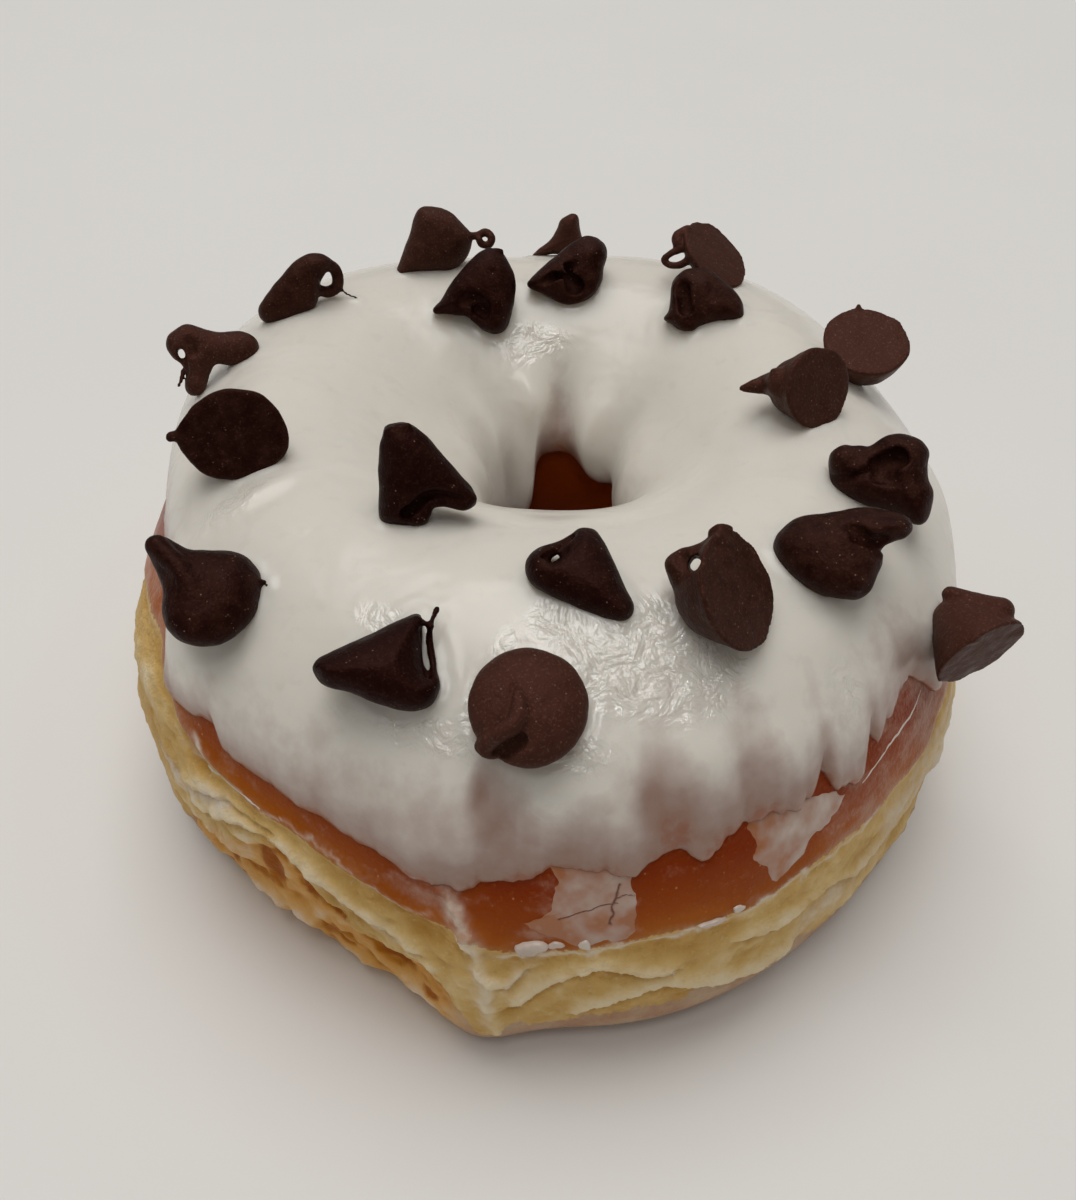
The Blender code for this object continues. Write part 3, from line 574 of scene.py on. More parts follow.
def ring_offset():
    """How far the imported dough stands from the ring's own centre, from the two boxes' middles."""
    low, high = (np.array(corner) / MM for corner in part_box("dough"))
    clock, reach = np.arange(0, 360, 1.0)[:, None], np.linspace(-60, 60, 240)[None, :]
    form = ring_point(clock, reach).reshape(-1, 3)
    middle = (low + high) / 2 - (form.min(axis=0) + form.max(axis=0)) / 2
    return np.array([middle[0], middle[1], 0.0])


# ---------------------------------------------------------------- meshes and materials

def write_mesh(name, points, faces, attributes):
    """A mesh in metres from points in mm and faces given as rows of corners, turned to face out."""
    corners = np.concatenate([face.reshape(-1) for face in faces])
    sizes = np.concatenate([np.full(len(face), face.shape[1]) for face in faces])
    middle = points.mean(axis=0)
    volume = sum(
        np.einsum("ij,ij->", points[face[:, 0]] - middle,
                  np.cross(points[face[:, k]] - middle, points[face[:, k + 1]] - middle))
        for face in faces for k in range(1, face.shape[1] - 1)
    )
    if volume < 0:
        corners = np.concatenate([face[:, ::-1].reshape(-1) for face in faces])
    mesh = bpy.data.meshes.new(name)
    mesh.vertices.add(len(points))
    mesh.vertices.foreach_set("co", (points * MM).reshape(-1).astype(np.float32))
    mesh.loops.add(len(corners))
    mesh.loops.foreach_set("vertex_index", corners.astype(np.int32))
    mesh.polygons.add(len(sizes))
    mesh.polygons.foreach_set("loop_start", (np.cumsum(sizes) - sizes).astype(np.int32))
    mesh.update(calc_edges=True)
    mesh.shade_smooth()
    for label, values in attributes.items():
        mesh.attributes.new(label, "FLOAT", "POINT").data.foreach_set("value", values.astype(np.float32))
    return mesh


def torus_mesh(name, grid, **attributes):
    """A closed mesh from a grid of points that wraps both ways."""
    rows, columns = grid.shape[:2]
    here = np.arange(rows * columns).reshape(rows, columns)
    down, right = np.roll(here, -1, axis=0), np.roll(here, -1, axis=1)
    faces = np.stack([here, right, np.roll(down, -1, axis=1), down], axis=-1).reshape(-1, 4)
    values = {label: value.reshape(-1) for label, value in attributes.items()}
    return write_mesh(name, grid.reshape(-1, 3), [faces], values)


def capped_parts(grid, start):
    """Points and faces of rings one after the other, the first and the last drawn to a point."""
    rings = grid[1:-1]
    count, sides = rings.shape[:2]
    points = np.concatenate([rings.reshape(-1, 3), [grid[0].mean(axis=0), grid[-1].mean(axis=0)]])
    here = np.arange(count * sides).reshape(count, sides)
    beside = np.roll(here, -1, axis=1)
    quads = np.stack([here[:-1], beside[:-1], beside[1:], here[1:]], axis=-1).reshape(-1, 4)
    first, last = np.full(sides, count * sides), np.full(sides, count * sides + 1)
    fans = np.concatenate([
        np.stack([first, beside[0], here[0]], axis=-1), np.stack([last, here[-1], beside[-1]], axis=-1)
    ])
    return points, quads + start, fans + start


def capped_mesh(name, grids, **attributes):
    """One mesh of one or more closed shapes, each given as its rings."""
    points, quads, fans, start = [], [], [], 0
    for grid in grids:
        placed, square, cap = capped_parts(grid, start)
        points.append(placed)
        quads.append(square)
        fans.append(cap)
        start += len(placed)
    values = {
        label: np.concatenate([
            np.concatenate([value[1:-1].reshape(-1), [value[0].mean(), value[-1].mean()]]) for value in rows
        ]) for label, rows in attributes.items()
    }
    return write_mesh(name, np.concatenate(points), [np.concatenate(quads), np.concatenate(fans)], values)


def add_piece(mesh, finish, replaces=()):
    """The mesh as a piece at the origin that rides on the one body and stands for its nodes."""
    mesh.materials.append(finish)
    piece = bpy.data.objects.new(mesh.name, mesh)
    bpy.context.scene.collection.objects.link(piece)
    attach(piece, "root")
    if replaces:
        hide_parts(*replaces)
    return piece


class Nodes:
    """The nodes of a material or a world, and short ways to add to them."""

    def __init__(self, owner):
        owner.use_nodes = True
        self.nodes, self.links = owner.node_tree.nodes, owner.node_tree.links

    def join(self, value, socket):
        if isinstance(value, (int, float, tuple)):
            socket.default_value = value
        else:
            self.links.new(value, socket)

    def maths(self, operation, first, second=0.0, third=0.0):
        node = self.nodes.new("ShaderNodeMath")
        node.operation = operation
        for value, socket in zip((first, second, third), node.inputs):
            self.join(value, socket)
        return node.outputs[0]


class Finish(Nodes):
    """A material whose looks are worked out from its place and the mesh's attributes."""

    def __init__(self, name):
        self.material = bpy.data.materials.new(name)
        super().__init__(self.material)
        self.shader = self.nodes["Principled BSDF"]
        self.place = self.nodes.new("ShaderNodeTexCoord").outputs["Object"]

    def attribute(self, name):
        node = self.nodes.new("ShaderNodeAttribute")
        node.attribute_name = name
        return node.outputs["Fac"]

    def spread(self, value, low, high, new_low=0.0, new_high=1.0, smooth_ends=True):
        """A value between two limits carried to between two others."""
        node = self.nodes.new("ShaderNodeMapRange")
        node.interpolation_type = "SMOOTHSTEP" if smooth_ends else "LINEAR"
        for number, socket in zip((value, low, high, new_low, new_high), node.inputs):
            self.join(number, socket)
        return node.outputs[0]

    def noise(self, size_mm, detail=3.0, distortion=0.0, roughness=0.55):
        """Noise from 0 to 1 whose lumps are about that size."""
        node = self.nodes.new("ShaderNodeTexNoise")
        self.links.new(self.place, node.inputs["Vector"])
        node.inputs["Scale"].default_value = 1 / (size_mm * MM)
        node.inputs["Detail"].default_value = detail
        node.inputs["Roughness"].default_value = roughness
        node.inputs["Distortion"].default_value = distortion
        return node.outputs["Fac"]

    def cells(self, size_mm):
        """Distance from the nearest point of a scatter, in cells of about that size."""
        node = self.nodes.new("ShaderNodeTexVoronoi")
        self.links.new(self.place, node.inputs["Vector"])
        node.inputs["Scale"].default_value = 1 / (size_mm * MM)
        return node.outputs["Distance"]

    def blend(self, share, first, second):
        node = self.nodes.new("ShaderNodeMix")
        node.data_type = "RGBA"
        sockets = [socket for socket in node.inputs if socket.type == "RGBA"]
        self.join(share, node.inputs[0])
        for colour, socket in zip((first, second), sockets):
            self.join((*colour, 1.0) if isinstance(colour, tuple) else colour, socket)
        return next(socket for socket in node.outputs if socket.type == "RGBA")

    def ramp(self, value, stops):
        node = self.nodes.new("ShaderNodeValToRGB")
        self.join(value, node.inputs["Fac"])
        elements = node.color_ramp.elements
        while len(elements) < len(stops):
            elements.new(0.5)
        for element, (position, colour) in zip(elements, stops):
            element.position = position
            element.color = (*colour, 1.0)
        return node.outputs["Color"]

    def bump(self, height, depth_mm, strength=1.0, under=None):
        node = self.nodes.new("ShaderNodeBump")
        self.join(height, node.inputs["Height"])
        node.inputs["Distance"].default_value = depth_mm * MM
        self.join(strength, node.inputs["Strength"])
        if under is not None:
            self.links.new(under, node.inputs["Normal"])
        return node.outputs["Normal"]

    def set(self, **values):
        """Sets the shader's own sockets by name, with _ for a space."""
        for name, value in values.items():
            label = name.replace("_", " ")
            socket = next(s for s in self.shader.inputs if s.name.lower() == label.lower())
            coloured = isinstance(value, tuple) and socket.type == "RGBA"
            self.join((*value, 1.0) if coloured else value, socket)


# ---------------------------------------------------------------- dough

OUTER_LINE = edge_line(OUTER_EDGE, 0.7)
OUTER_SWEEP = edge_line(OUTER_EDGE, 6.0)
INNER_LINE = edge_line(INNER_EDGE, 2.5)
BORDER_LINE = edge_line(CRUST_BORDER, 1.0)
FOOT_LINE = edge_line(BELT_FOOT, 0.8)

# The torn flank at the left: its middle, and where each end fades, in degrees from there.
TORN_CLOCK, TORN_START, TORN_END = 240.0, (-26, -18), (19, 24)
# The lip along the crust's lower border and the hollow under it, as height, distance above the border
# and spread; the share of both that there is all round, and what the torn flank adds.
BORDER_LIP, BORDER_HOLLOW, BORDER_SHARE, BORDER_TORN = (0.28, 0.6, 0.8), (-0.42, -1.1, 1.0), 0.35, 0.85
# Uneven relief, as its height and the size of its lumps: swells along the belt, roughness there and
# what the torn flank adds, grain below the crust, the torn foot, and the crust's own two.
SWELLS, SWELL_SIZE = 0.34, (9.0, 9.0, 3.2)
ROUGHNESS, TORN_ROUGHNESS, ROUGH_SIZE = 0.06, 0.28, (2.6, 2.6, 1.5)
GRAIN, GRAIN_SIZE = 0.16, 0.9
TORN_FOOT, TORN_FOOT_SIZE, TORN_FOOT_SINK = 0.70, 3.2, 0.18
CRUST_SWELLS, CRUST_SWELL_SIZE, CRUST_GRAIN, CRUST_GRAIN_SIZE = 0.09, 5.0, 0.03, 1.4
# Where each of them starts and ends, in mm below the crust's border, above the foot's, or of reach.
BELT_TOP, BELT_BASE, GRAIN_TOP, GRAIN_BASE = (0, 1.2), (-2.0, 1.0), (-0.5, 1.0), (-12, -9)
TORN_FOOT_TOP, TORN_FOOT_HEIGHT, CRUST_START = (-0.4, 0.5), (-4, 0), (0, 1.5)
# Below a fold's lip, in shares of its width: how steeply it drops, then its hollow's place, spread
# and depth.
FOLD_DROP, FOLD_HOLLOW_PLACE, FOLD_HOLLOW_SPREAD, FOLD_HOLLOW_DEPTH = 0.18, 0.42, 0.36, 0.55
RIDGE_WANDER, RIDGE_WANDER_SIZE, RIDGE_ROUGHNESS, RIDGE_ROUGH_SIZE = 0.55, 1.5, 0.5, 1.1
# Where the relief dies away into the flat foot, and how far round the section there is any.
FLAT_REACH, RELIEF_REACH = (11.5, 14.5), 60
# Where the dough darkens down the hole and under the foot, how relief becomes a shade of the belt,
# and how clouded the sugar film and how uneven the pale streaks are.
HOLE_DARKENS, UNDERSIDE_DARKENS = (45, 50), (30, 40)
DEPTH_LEVEL, DEPTH_GAIN = 0.30, 0.55
FILM_CLOUDS, FILM_CLOUD_SIZE = 0.30, (2.2, 2.2, 1.2)
STREAK_WANDER, STREAK_WANDER_SIZE = 0.50, 1.1


def torn_share(clock):
    """1 along the torn flank, fading out at its two ends."""
    along = turned(clock, TORN_CLOCK)
    return smooth(along, *TORN_START) * (1 - smooth(along, *TORN_END))


def fold_lip(off):
    """A fold at a distance given in its widths: round above, with a steep drop and a hollow below."""
    lip = np.where(off > 0, np.exp(-off ** 2), np.exp(-(off / FOLD_DROP) ** 2))
    hollow = ridge(off, FOLD_HOLLOW_DEPTH, -FOLD_HOLLOW_PLACE, FOLD_HOLLOW_SPREAD)
    return lip - np.where(off < 0, hollow, 0)


def dough_relief(clock, reach, points):
    """How far the dough stands out of its smooth form: a lip along the crust's lower border with a
    hollow under it, soft swells along the belt, lips along the folds, the pinched ridge, the torn
    foot and its pits."""
    above = reach - round_ring(clock, *BORDER_LINE)
    below = round_ring(clock, *FOOT_LINE) - reach
    belt = smooth(-above, *BELT_TOP) * smooth(-below, *BELT_BASE)
    torn = torn_share(clock)
    relief = ridge(above, *BORDER_LIP) + ridge(above, *BORDER_HOLLOW)
    relief = relief * (BORDER_SHARE + BORDER_TORN * torn)
    relief += belt * SWELLS * layered(points, SWELL_SIZE, 11, 2)
    relief += belt * (ROUGHNESS + TORN_ROUGHNESS * torn) * layered(points, ROUGH_SIZE, 17)
    low = smooth(-above, *GRAIN_TOP) * smooth(reach, *GRAIN_BASE)
    relief += low * GRAIN * layered(points, GRAIN_SIZE, 19)
    torn_foot = smooth(below, *TORN_FOOT_TOP) * smooth(-reach, *TORN_FOOT_HEIGHT) * torn
    relief += torn_foot * (TORN_FOOT * layered(points, TORN_FOOT_SIZE, 23) - TORN_FOOT_SINK)
    for route, height, width in FOLDS:
        off, within = route_distance(clock, reach, route)
        relief += height * within * fold_lip(off / width)
    off, _ = route_distance(clock, reach, CORNER_RIDGE)
    off = off + RIDGE_WANDER * layered(points, RIDGE_WANDER_SIZE, 27)
    rough = 1 + RIDGE_ROUGHNESS * layered(points, RIDGE_ROUGH_SIZE, 29)
    relief += rough * ridge(off, RIDGE_HEIGHT, 0, RIDGE_WIDTH)
    relief -= blobs(clock, reach, PITS)
    crust = CRUST_SWELLS * noise(points, CRUST_SWELL_SIZE, 31)
    crust += CRUST_GRAIN * layered(points, CRUST_GRAIN_SIZE, 37)
    relief += smooth(above, *CRUST_START) * crust
    return relief * (1 - smooth(-reach, *FLAT_REACH)) * (np.abs(reach) < RELIEF_REACH)


def dough_point(clock, reach):
    """The dough's surface: its smooth form with the relief along the outward direction."""
    smooth_form = ring_point(clock, reach)
    relief = dough_relief(clock, reach, smooth_form)
    return smooth_form + ring_normal(clock, reach) * relief[..., None]


def dough_rows():
    """The reach of each row; those that have passed under the foot count back from the belt."""
    reach = np.concatenate([np.linspace(low, high, count) for low, high, count in DOUGH_ROWS])
    return np.where(reach > UNDER_REACH, reach - SECTION[0][-1], reach)


def pale_share(clock, reach, points):
    """How pale the dough is along its streaks, whose edges wander."""
    wander = STREAK_WANDER * layered(points, STREAK_WANDER_SIZE, 73)
    pale = np.zeros(points.shape[:-1])
    for route, wide, strength in PALE_STREAKS:
        off, within = route_distance(clock, reach, route)
        pale = np.maximum(pale, within * ridge(off + wander, strength, 0, wide))
    return pale


def make_dough(offset, finish):
    """The ring as one closed surface, with its rows gathered on the belt and the crust."""
    clock = front_clocks(DOUGH_CLOCKS)[:, None]
    reach = dough_rows()[None, :]
    smooth_form = ring_point(clock, reach)
    relief = dough_relief(clock, reach, smooth_form)
    grid = smooth_form + ring_normal(clock, reach) * relief[..., None] + offset
    grid[..., 2] = np.maximum(grid[..., 2], 0)
    inside = smooth(reach, *HOLE_DARKENS) + smooth(-reach, *UNDERSIDE_DARKENS) + 0 * clock
    film = round_ring(clock, *zip(*FILM)) + blobs(clock, reach, FILM_SPOTS)
    film = film + FILM_CLOUDS * layered(smooth_form, FILM_CLOUD_SIZE, 71)
    mesh = torus_mesh(
        "fried_dough", grid,
        above=reach - round_ring(clock, *BORDER_LINE), below=round_ring(clock, *FOOT_LINE) - reach,
        inside=np.clip(inside, 0, 1), film=np.clip(film, 0, 1), pale=pale_share(clock, reach, smooth_form),
        depth=np.clip(DEPTH_LEVEL + DEPTH_GAIN * relief, 0, 1), torn=torn_share(clock) + 0 * reach,
        pits=np.clip(2 * blobs(clock, reach, PITS), 0, 1),
    )
    return add_piece(mesh, finish, ("dough",))


# The dough's colours: the crust from its border up, the belt from its hollows out, the torn foot
# likewise, and single ones that are blended in.
CRUST_RAMP = (
    (0.0, (0.46, 0.185, 0.040)), (0.14, (0.40, 0.105, 0.008)), (0.42, (0.33, 0.062, 0.001)),
    (1.0, (0.235, 0.028, 0.0005)),
)
BELT_RAMP = (
    (0.0, (0.50, 0.240, 0.040)), (0.30, (0.60, 0.355, 0.100)), (0.60, (0.69, 0.455, 0.165)),
    (0.82, (0.77, 0.570, 0.285)), (1.0, (0.84, 0.700, 0.470)),
)
FOOT_RAMP = (
    (0.0, (0.42, 0.125, 0.002)), (0.16, (0.46, 0.165, 0.006)), (0.34, (0.66, 0.320, 0.070)),
    (0.62, (0.72, 0.400, 0.130)), (0.82, (0.76, 0.510, 0.270)), (1.0, (0.78, 0.600, 0.430)),
)
DARK_CRUST, SPECKLED_CRUST, BLISTERED_CRUST = (0.27, 0.046, 0.001), (0.48, 0.150, 0.020), (0.62, 0.30, 0.12)
SUGAR_FILM, BELT_CREAM, TORN_WHITE = (0.47, 0.265, 0.190), (0.78, 0.66, 0.42), (0.80, 0.70, 0.58)
BROWN_FOOT, TAN_FOOT, PIT_ORANGE = (0.47, 0.265, 0.160), (0.58, 0.410, 0.270), (0.36, 0.092, 0.002)
HIDDEN_DOUGH = (0.20, 0.030, 0.002)


def crust_colour(look, above, fine, middle, broad, frayed):
    """Orange brown, deeper towards the icing, with darker clouds, specks, blisters and sugar film."""
    colour = look.ramp(look.spread(above, 0.0, 6.0, smooth_ends=False), CRUST_RAMP)
    colour = look.blend(look.spread(broad, 0.40, 0.72, 0.0, 0.45), colour, DARK_CRUST)
    colour = look.blend(look.spread(fine, 0.55, 0.8, 0.0, 0.35), colour, SPECKLED_CRUST)
    blisters = look.spread(look.cells(0.9), 0.06, 0.16, 0.55, 0.0)
    blisters = look.maths("MULTIPLY", blisters, look.spread(middle, 0.5, 0.62))
    colour = look.blend(blisters, colour, BLISTERED_CRUST)
    filmed = look.maths("ADD", look.attribute("film"), look.maths("MULTIPLY", frayed, 0.5))
    return look.blend(look.spread(filmed, 0.18, 0.95, 0.0, 0.80), colour, SUGAR_FILM)


def belt_colour(look, depth, tears, fine):
    """Cream, yellower in the folds."""
    level = look.spread(look.maths("ADD", look.maths("MULTIPLY", tears, 0.7), depth), 0.1, 1.1)
    return look.blend(look.spread(fine, 0.58, 0.74, 0.0, 0.35), look.ramp(level, BELT_RAMP), BELT_CREAM)


def foot_colour(look, depth, ragged, broad):
    """Amber along the torn flank, browned elsewhere, and deep orange in the pits."""
    level = look.maths("ADD", look.maths("MULTIPLY", look.noise(4.0, 2), 1.5), depth)
    torn = look.ramp(look.spread(level, 0.56, 1.45, smooth_ends=False), FOOT_RAMP)
    browned = look.blend(look.spread(broad, 0.35, 0.65), BROWN_FOOT, TAN_FOOT)
    colour = look.blend(look.attribute("torn"), browned, torn)
    hollow = look.maths("ADD", look.attribute("pits"), look.maths("MULTIPLY", ragged, 0.25))
    return look.blend(look.spread(hollow, 0.18, 0.55, 0.0, 0.92), colour, PIT_ORANGE)


def dough_finish():
    """Orange-brown crust, deepest where it meets the icing and filmed with sugar at the sides, over
    a cream belt whose folds are yellower, and an amber foot."""
    look = Finish("fried_dough")
    fine, middle, broad = look.noise(0.45, 4), look.noise(1.8, 4), look.noise(6.0, 3)
    tears = look.noise(3.0, 5)
    ragged = look.maths("MULTIPLY_ADD", middle, 2.4, -1.2)
    frayed = look.maths("MULTIPLY_ADD", fine, 1.2, -0.6)
    wander = look.maths("ADD", look.maths("MULTIPLY", ragged, 0.5), frayed)
    above = look.maths("ADD", look.attribute("above"), wander)
    border = look.spread(above, -0.12, 0.22)
    below = look.maths("ADD", look.attribute("below"), wander)
    below = look.maths("ADD", below, look.maths("MULTIPLY_ADD", tears, 4.0, -2.0))
    depth = look.attribute("depth")
    crust = crust_colour(look, above, fine, middle, broad, frayed)
    belt, foot = belt_colour(look, depth, tears, fine), foot_colour(look, depth, ragged, broad)
    colour = look.blend(border, look.blend(look.spread(below, -0.35, 0.35), belt, foot), crust)
    streak = look.maths("MULTIPLY", look.attribute("pale"), look.spread(middle, 0.35, 0.6, 0.35, 0.9))
    colour = look.blend(streak, colour, TORN_WHITE)
    colour = look.blend(look.attribute("inside"), colour, HIDDEN_DOUGH)
    relief = look.bump(fine, 0.16, look.spread(border, 0.0, 1.0, 1.0, 0.45))
    relief = look.bump(middle, 0.45, look.spread(border, 0.0, 1.0, 0.55, 0.20), relief)
    look.set(base_color=colour, roughness=look.spread(border, 0.0, 1.0, 0.50, 0.30), normal=relief,
             specular_ior_level=0.10, subsurface_weight=look.spread(border, 0.0, 1.0, 0.12, 0.0),
             subsurface_scale=1.0 * MM, subsurface_radius=(1.0, 0.55, 0.25))
    return look.material


# ---------------------------------------------------------------- icing

# The icing's section at its outer edge is part quarter circle, part soft slope; its line passes from
# the ragged edge to the edge's broad sweep over some mm.
ROUND_SHARE, SLOPE_LIMITS, SWEEP_FADE = 0.35, (-0.35, 1.1), (0.2, 2.6)
ICING_SWELLS, ICING_SWELL_SIZE, ICING_LUMPS, ICING_LUMP_SIZE = 0.22, 13.0, 0.10, 5.0
THIN_SINK = 0.50
# Right of the pinched corner the icing has run, so its edge and its cover are more uneven there.
RUN_CLOCK, RUN_START = 300.0, (-44, -30)
EDGE_WANDER, RUN_WANDER, EDGE_WANDER_SIZE, EDGE_REACH = 0.22, 0.35, 1.5, 9.0
COVER_STREAKS, RUN_STREAKS, STREAK_SIZE, STREAK_STRETCH = 0.12, 0.13, 3.6, 0.30
THIN_STREAKS, THIN_STREAK_SIZE, THIN_CLEAR, ROLL_COVER = 0.22, 2.0, 0.85, 0.45
COVER_POWER, LEAST_SKIRT = 1.35, 0.2
# How far over the edge the icing still follows the dough's relief, and how deep its underside lies.
RELIEF_FADE, UNDERSIDE = (0, 5), 0.4
ROWS_GATHER = 1.25


def rounded(share):
    """A quarter circle's height, from 0 at its rim to 1."""
    return np.sqrt(1 - (1 - share) ** 2)


def icing_height(clock, reach, outer, inner, points):
    """How thick the icing is: even on top and rounded off at both edges, folded where it hangs down
    the hole, swelling in rolls and sinking where it has run thin. Its outer rounding follows the
    ragged edge close by and the edge's broad sweep further in."""
    past = reach - outer
    past = past + (outer - round_ring(clock, *OUTER_SWEEP)) * smooth(past, *SWEEP_FADE)
    from_outer = np.clip(past / OUTER_ROUNDING, 0, 1)
    from_inner = np.clip((inner - reach) / INNER_ROUNDING, 0, 1)
    start = smooth(0.0, *SLOPE_LIMITS)
    slope = (smooth(from_outer, *SLOPE_LIMITS) - start) / (1 - start)
    body = ROUND_SHARE * rounded(from_outer) + (1 - ROUND_SHARE) * slope
    body = body * rounded(from_inner)
    folds = sum(swell(clock, valley, FOLD_SPREAD) for valley in FOLD_CLOCKS)
    hanging = np.clip((reach - FOLD_REACH) / FOLD_LENGTH + 1, 0, 1) * from_inner
    folded = swell(clock, FOLDED_CLOCK, FOLDED_SPREAD)
    full = ICING_THICKNESS + ICING_CLEARANCE
    height = ICING_EDGE + (full - ICING_EDGE) * body
    height += hanging * folded * (FOLD_SWELL - (FOLD_SWELL + FOLD_DEPTH) * folds)
    swells = ICING_SWELLS * noise(points, ICING_SWELL_SIZE, 41)
    lumps = ICING_LUMPS * noise(points, ICING_LUMP_SIZE, 43)
    rolls, sunk = blobs(clock, reach, ROLLS), THIN_SINK * thin_spots(clock, reach)
    return height + body * (swells + lumps + rolls - sunk)


def run_share(clock):
    """1 right of the pinched corner, where the icing has run, and 0 left of it."""
    return smooth(turned(clock, RUN_CLOCK), *RUN_START)


def run_streaks(clock, reach, size, seed):
    """Noise drawn out down the slope, as the icing ran: wide in reach and narrow round the ring."""
    return layered(flat(clock * MM_PER_DEGREE, reach * STREAK_STRETCH), size, seed)


def cover_from(distance, length):
    """How well a skirt hides what is under it: 1 less e to the minus distance over a length, to a
    power."""
    return 1 - np.exp(-(np.maximum(distance, 0) / length) ** COVER_POWER)


def icing_cover(clock, reach, outer, inner):
    """How well the icing hides the crust: better with the distance from both edges, over a length
    that is greater where the icing ran thin, less again over the thin spots, and more on rolls."""
    running = COVER_STREAKS + RUN_STREAKS * run_share(clock)
    length = round_ring(clock, *zip(*SKIRT))
    length = length * (1 + running * run_streaks(clock, reach, STREAK_SIZE, 61))
    cover = cover_from(reach - outer, np.maximum(length, LEAST_SKIRT))
    cover = np.minimum(cover, cover_from(inner - reach, round_ring(clock, *zip(*HANGING_SKIRT))))
    thin = 1 + THIN_STREAKS * run_streaks(clock, reach, THIN_STREAK_SIZE, 67)
    thin = np.clip(thin * thin_spots(clock, reach), 0, 1)
    rolls = np.clip(blobs(clock, reach, ROLLS), 0, 1)
    return np.clip(cover * (1 - THIN_CLEAR * thin) + ROLL_COVER * rolls * cover, 0, 1)


def seat_lift(points, chips):
    """How far the icing rises round the chips that have sunk in it; the rise dies away as e to the
    minus square of the distance. Round the chips in the glossy patch a low ring stands beyond it."""
    lift = np.zeros(points.shape[:-1])
    for number, chip in enumerate(chips, 1):
        spots = chip[::6]
        middle = (spots.min(axis=0) + spots.max(axis=0)) / 2
        near = np.linalg.norm(points - middle, axis=-1) < SEAT_SEARCH
        away = points[near][:, None, :] - spots[None, :, :]
        gap = np.sqrt(np.einsum("ijk,ijk->ij", away, away).min(axis=1))
        rise = ridge(np.maximum(gap, SEAT_START), SEAT_RISE, SEAT_START, SEAT_SPREAD)
        if number in RINGED_CHIPS:
            rise += ridge(gap, RING_HEIGHT, RING_DISTANCE, RING_SPREAD)
        lift[near] = np.maximum(lift[near], rise)
    return lift


def make_icing(offset, chips, finish):
    """A closed shell: its upper side from the outer edge to the inner one, and back just inside
    the dough's surface."""
    clock = front_clocks(ICING_CLOCKS)[:, None]
    wander = EDGE_WANDER + RUN_WANDER * run_share(clock)
    along = ring_point(clock, EDGE_REACH + 0 * clock)
    outer = round_ring(clock, *OUTER_LINE) + wander * layered(along, EDGE_WANDER_SIZE, 53)
    inner = round_ring(clock, *INNER_LINE)
    reach = outer + np.linspace(0, 1, ICING_ROWS_OVER)[None, :] ** ROWS_GATHER * (inner - outer)
    smooth_form = ring_point(clock, reach)
    normal = ring_normal(clock, reach)
    height = icing_height(clock, reach, outer, inner, smooth_form)[..., None]
    clear = smooth(reach - outer, *RELIEF_FADE)[..., None]
    under = dough_point(clock, reach) * (1 - clear) + smooth_form * clear
    upper = under + normal * height + offset
    upper = upper + normal * seat_lift(upper, chips)[..., None]
    back = outer + np.linspace(1, 0, ICING_ROWS_UNDER)[None, :] * (inner - outer)
    lower = dough_point(clock, back) - ring_normal(clock, back) * UNDERSIDE + offset
    cover = icing_cover(clock, reach, outer, inner)
    crinkle = np.clip(blobs(clock, reach, CRINKLES), 0, 1)
    hidden = np.zeros(lower.shape[:2])
    values = {
        label: np.concatenate([value, hidden], axis=1)
        for label, value in (("cover", cover), ("crinkle", crinkle), ("crack", 0 * cover))
    }
    mesh = torus_mesh("sugar_icing", np.concatenate([upper, lower], axis=1), **values)
    return add_piece(mesh, finish, ("icing",))


ICING_GLOW_MM = 3.0
CRACK_BROWN = (0.12, 0.018, 0.003)
# The icing's colours from bare to full cover, and the same for loose glaze, which is clearer.
WHITE_ICING = (
    (0.0, (0.33, 0.120, 0.060)), (0.08, (0.355, 0.205, 0.150)), (0.32, (0.420, 0.300, 0.250)),
    (0.64, (0.570, 0.478, 0.424)), (0.95, (0.772, 0.730, 0.657)),
)
CLEAR_GLAZE = (
    (0.0, (0.400, 0.150, 0.060)), (0.25, (0.460, 0.290, 0.220)), (0.55, (0.550, 0.425, 0.355)),
    (0.95, (0.800, 0.735, 0.640)),
)


def icing_finish(name, ramp, through):
    """Sugar icing with a soft gloss: crinkled skin in patches, and the crust's colour coming through
    as it thins. The ramp runs from bare to full cover, and through is how much light sinks in."""
    look = Finish(name)
    cloudy = look.noise(2.2, 4)
    cover = look.maths("ADD", look.attribute("cover"), look.spread(cloudy, 0.25, 0.75, -0.09, 0.09))
    colour = look.blend(look.attribute("crack"), look.ramp(cover, ramp), CRACK_BROWN)
    waves, ripples = look.noise(2.6, 3, 0.8, 0.55), look.noise(0.9, 3, 1.2, 0.6)
    crinkle = look.spread(look.attribute("crinkle"), 0.05, 0.85)
    relief = look.bump(look.noise(6.0, 2, 0.4), 0.5, 0.6)
    relief = look.bump(waves, 0.90, crinkle, relief)
    relief = look.bump(ripples, 0.16, crinkle, relief)
    look.set(base_color=colour, roughness=look.spread(crinkle, 0.0, 0.6, 0.26, 0.09), normal=relief,
             specular_ior_level=look.spread(crinkle, 0.0, 0.6, 0.5, 1.0), subsurface_weight=through,
             subsurface_scale=ICING_GLOW_MM * MM, subsurface_radius=(1.0, 0.9, 0.8))
    return look.material


# ---------------------------------------------------------------- loose glaze

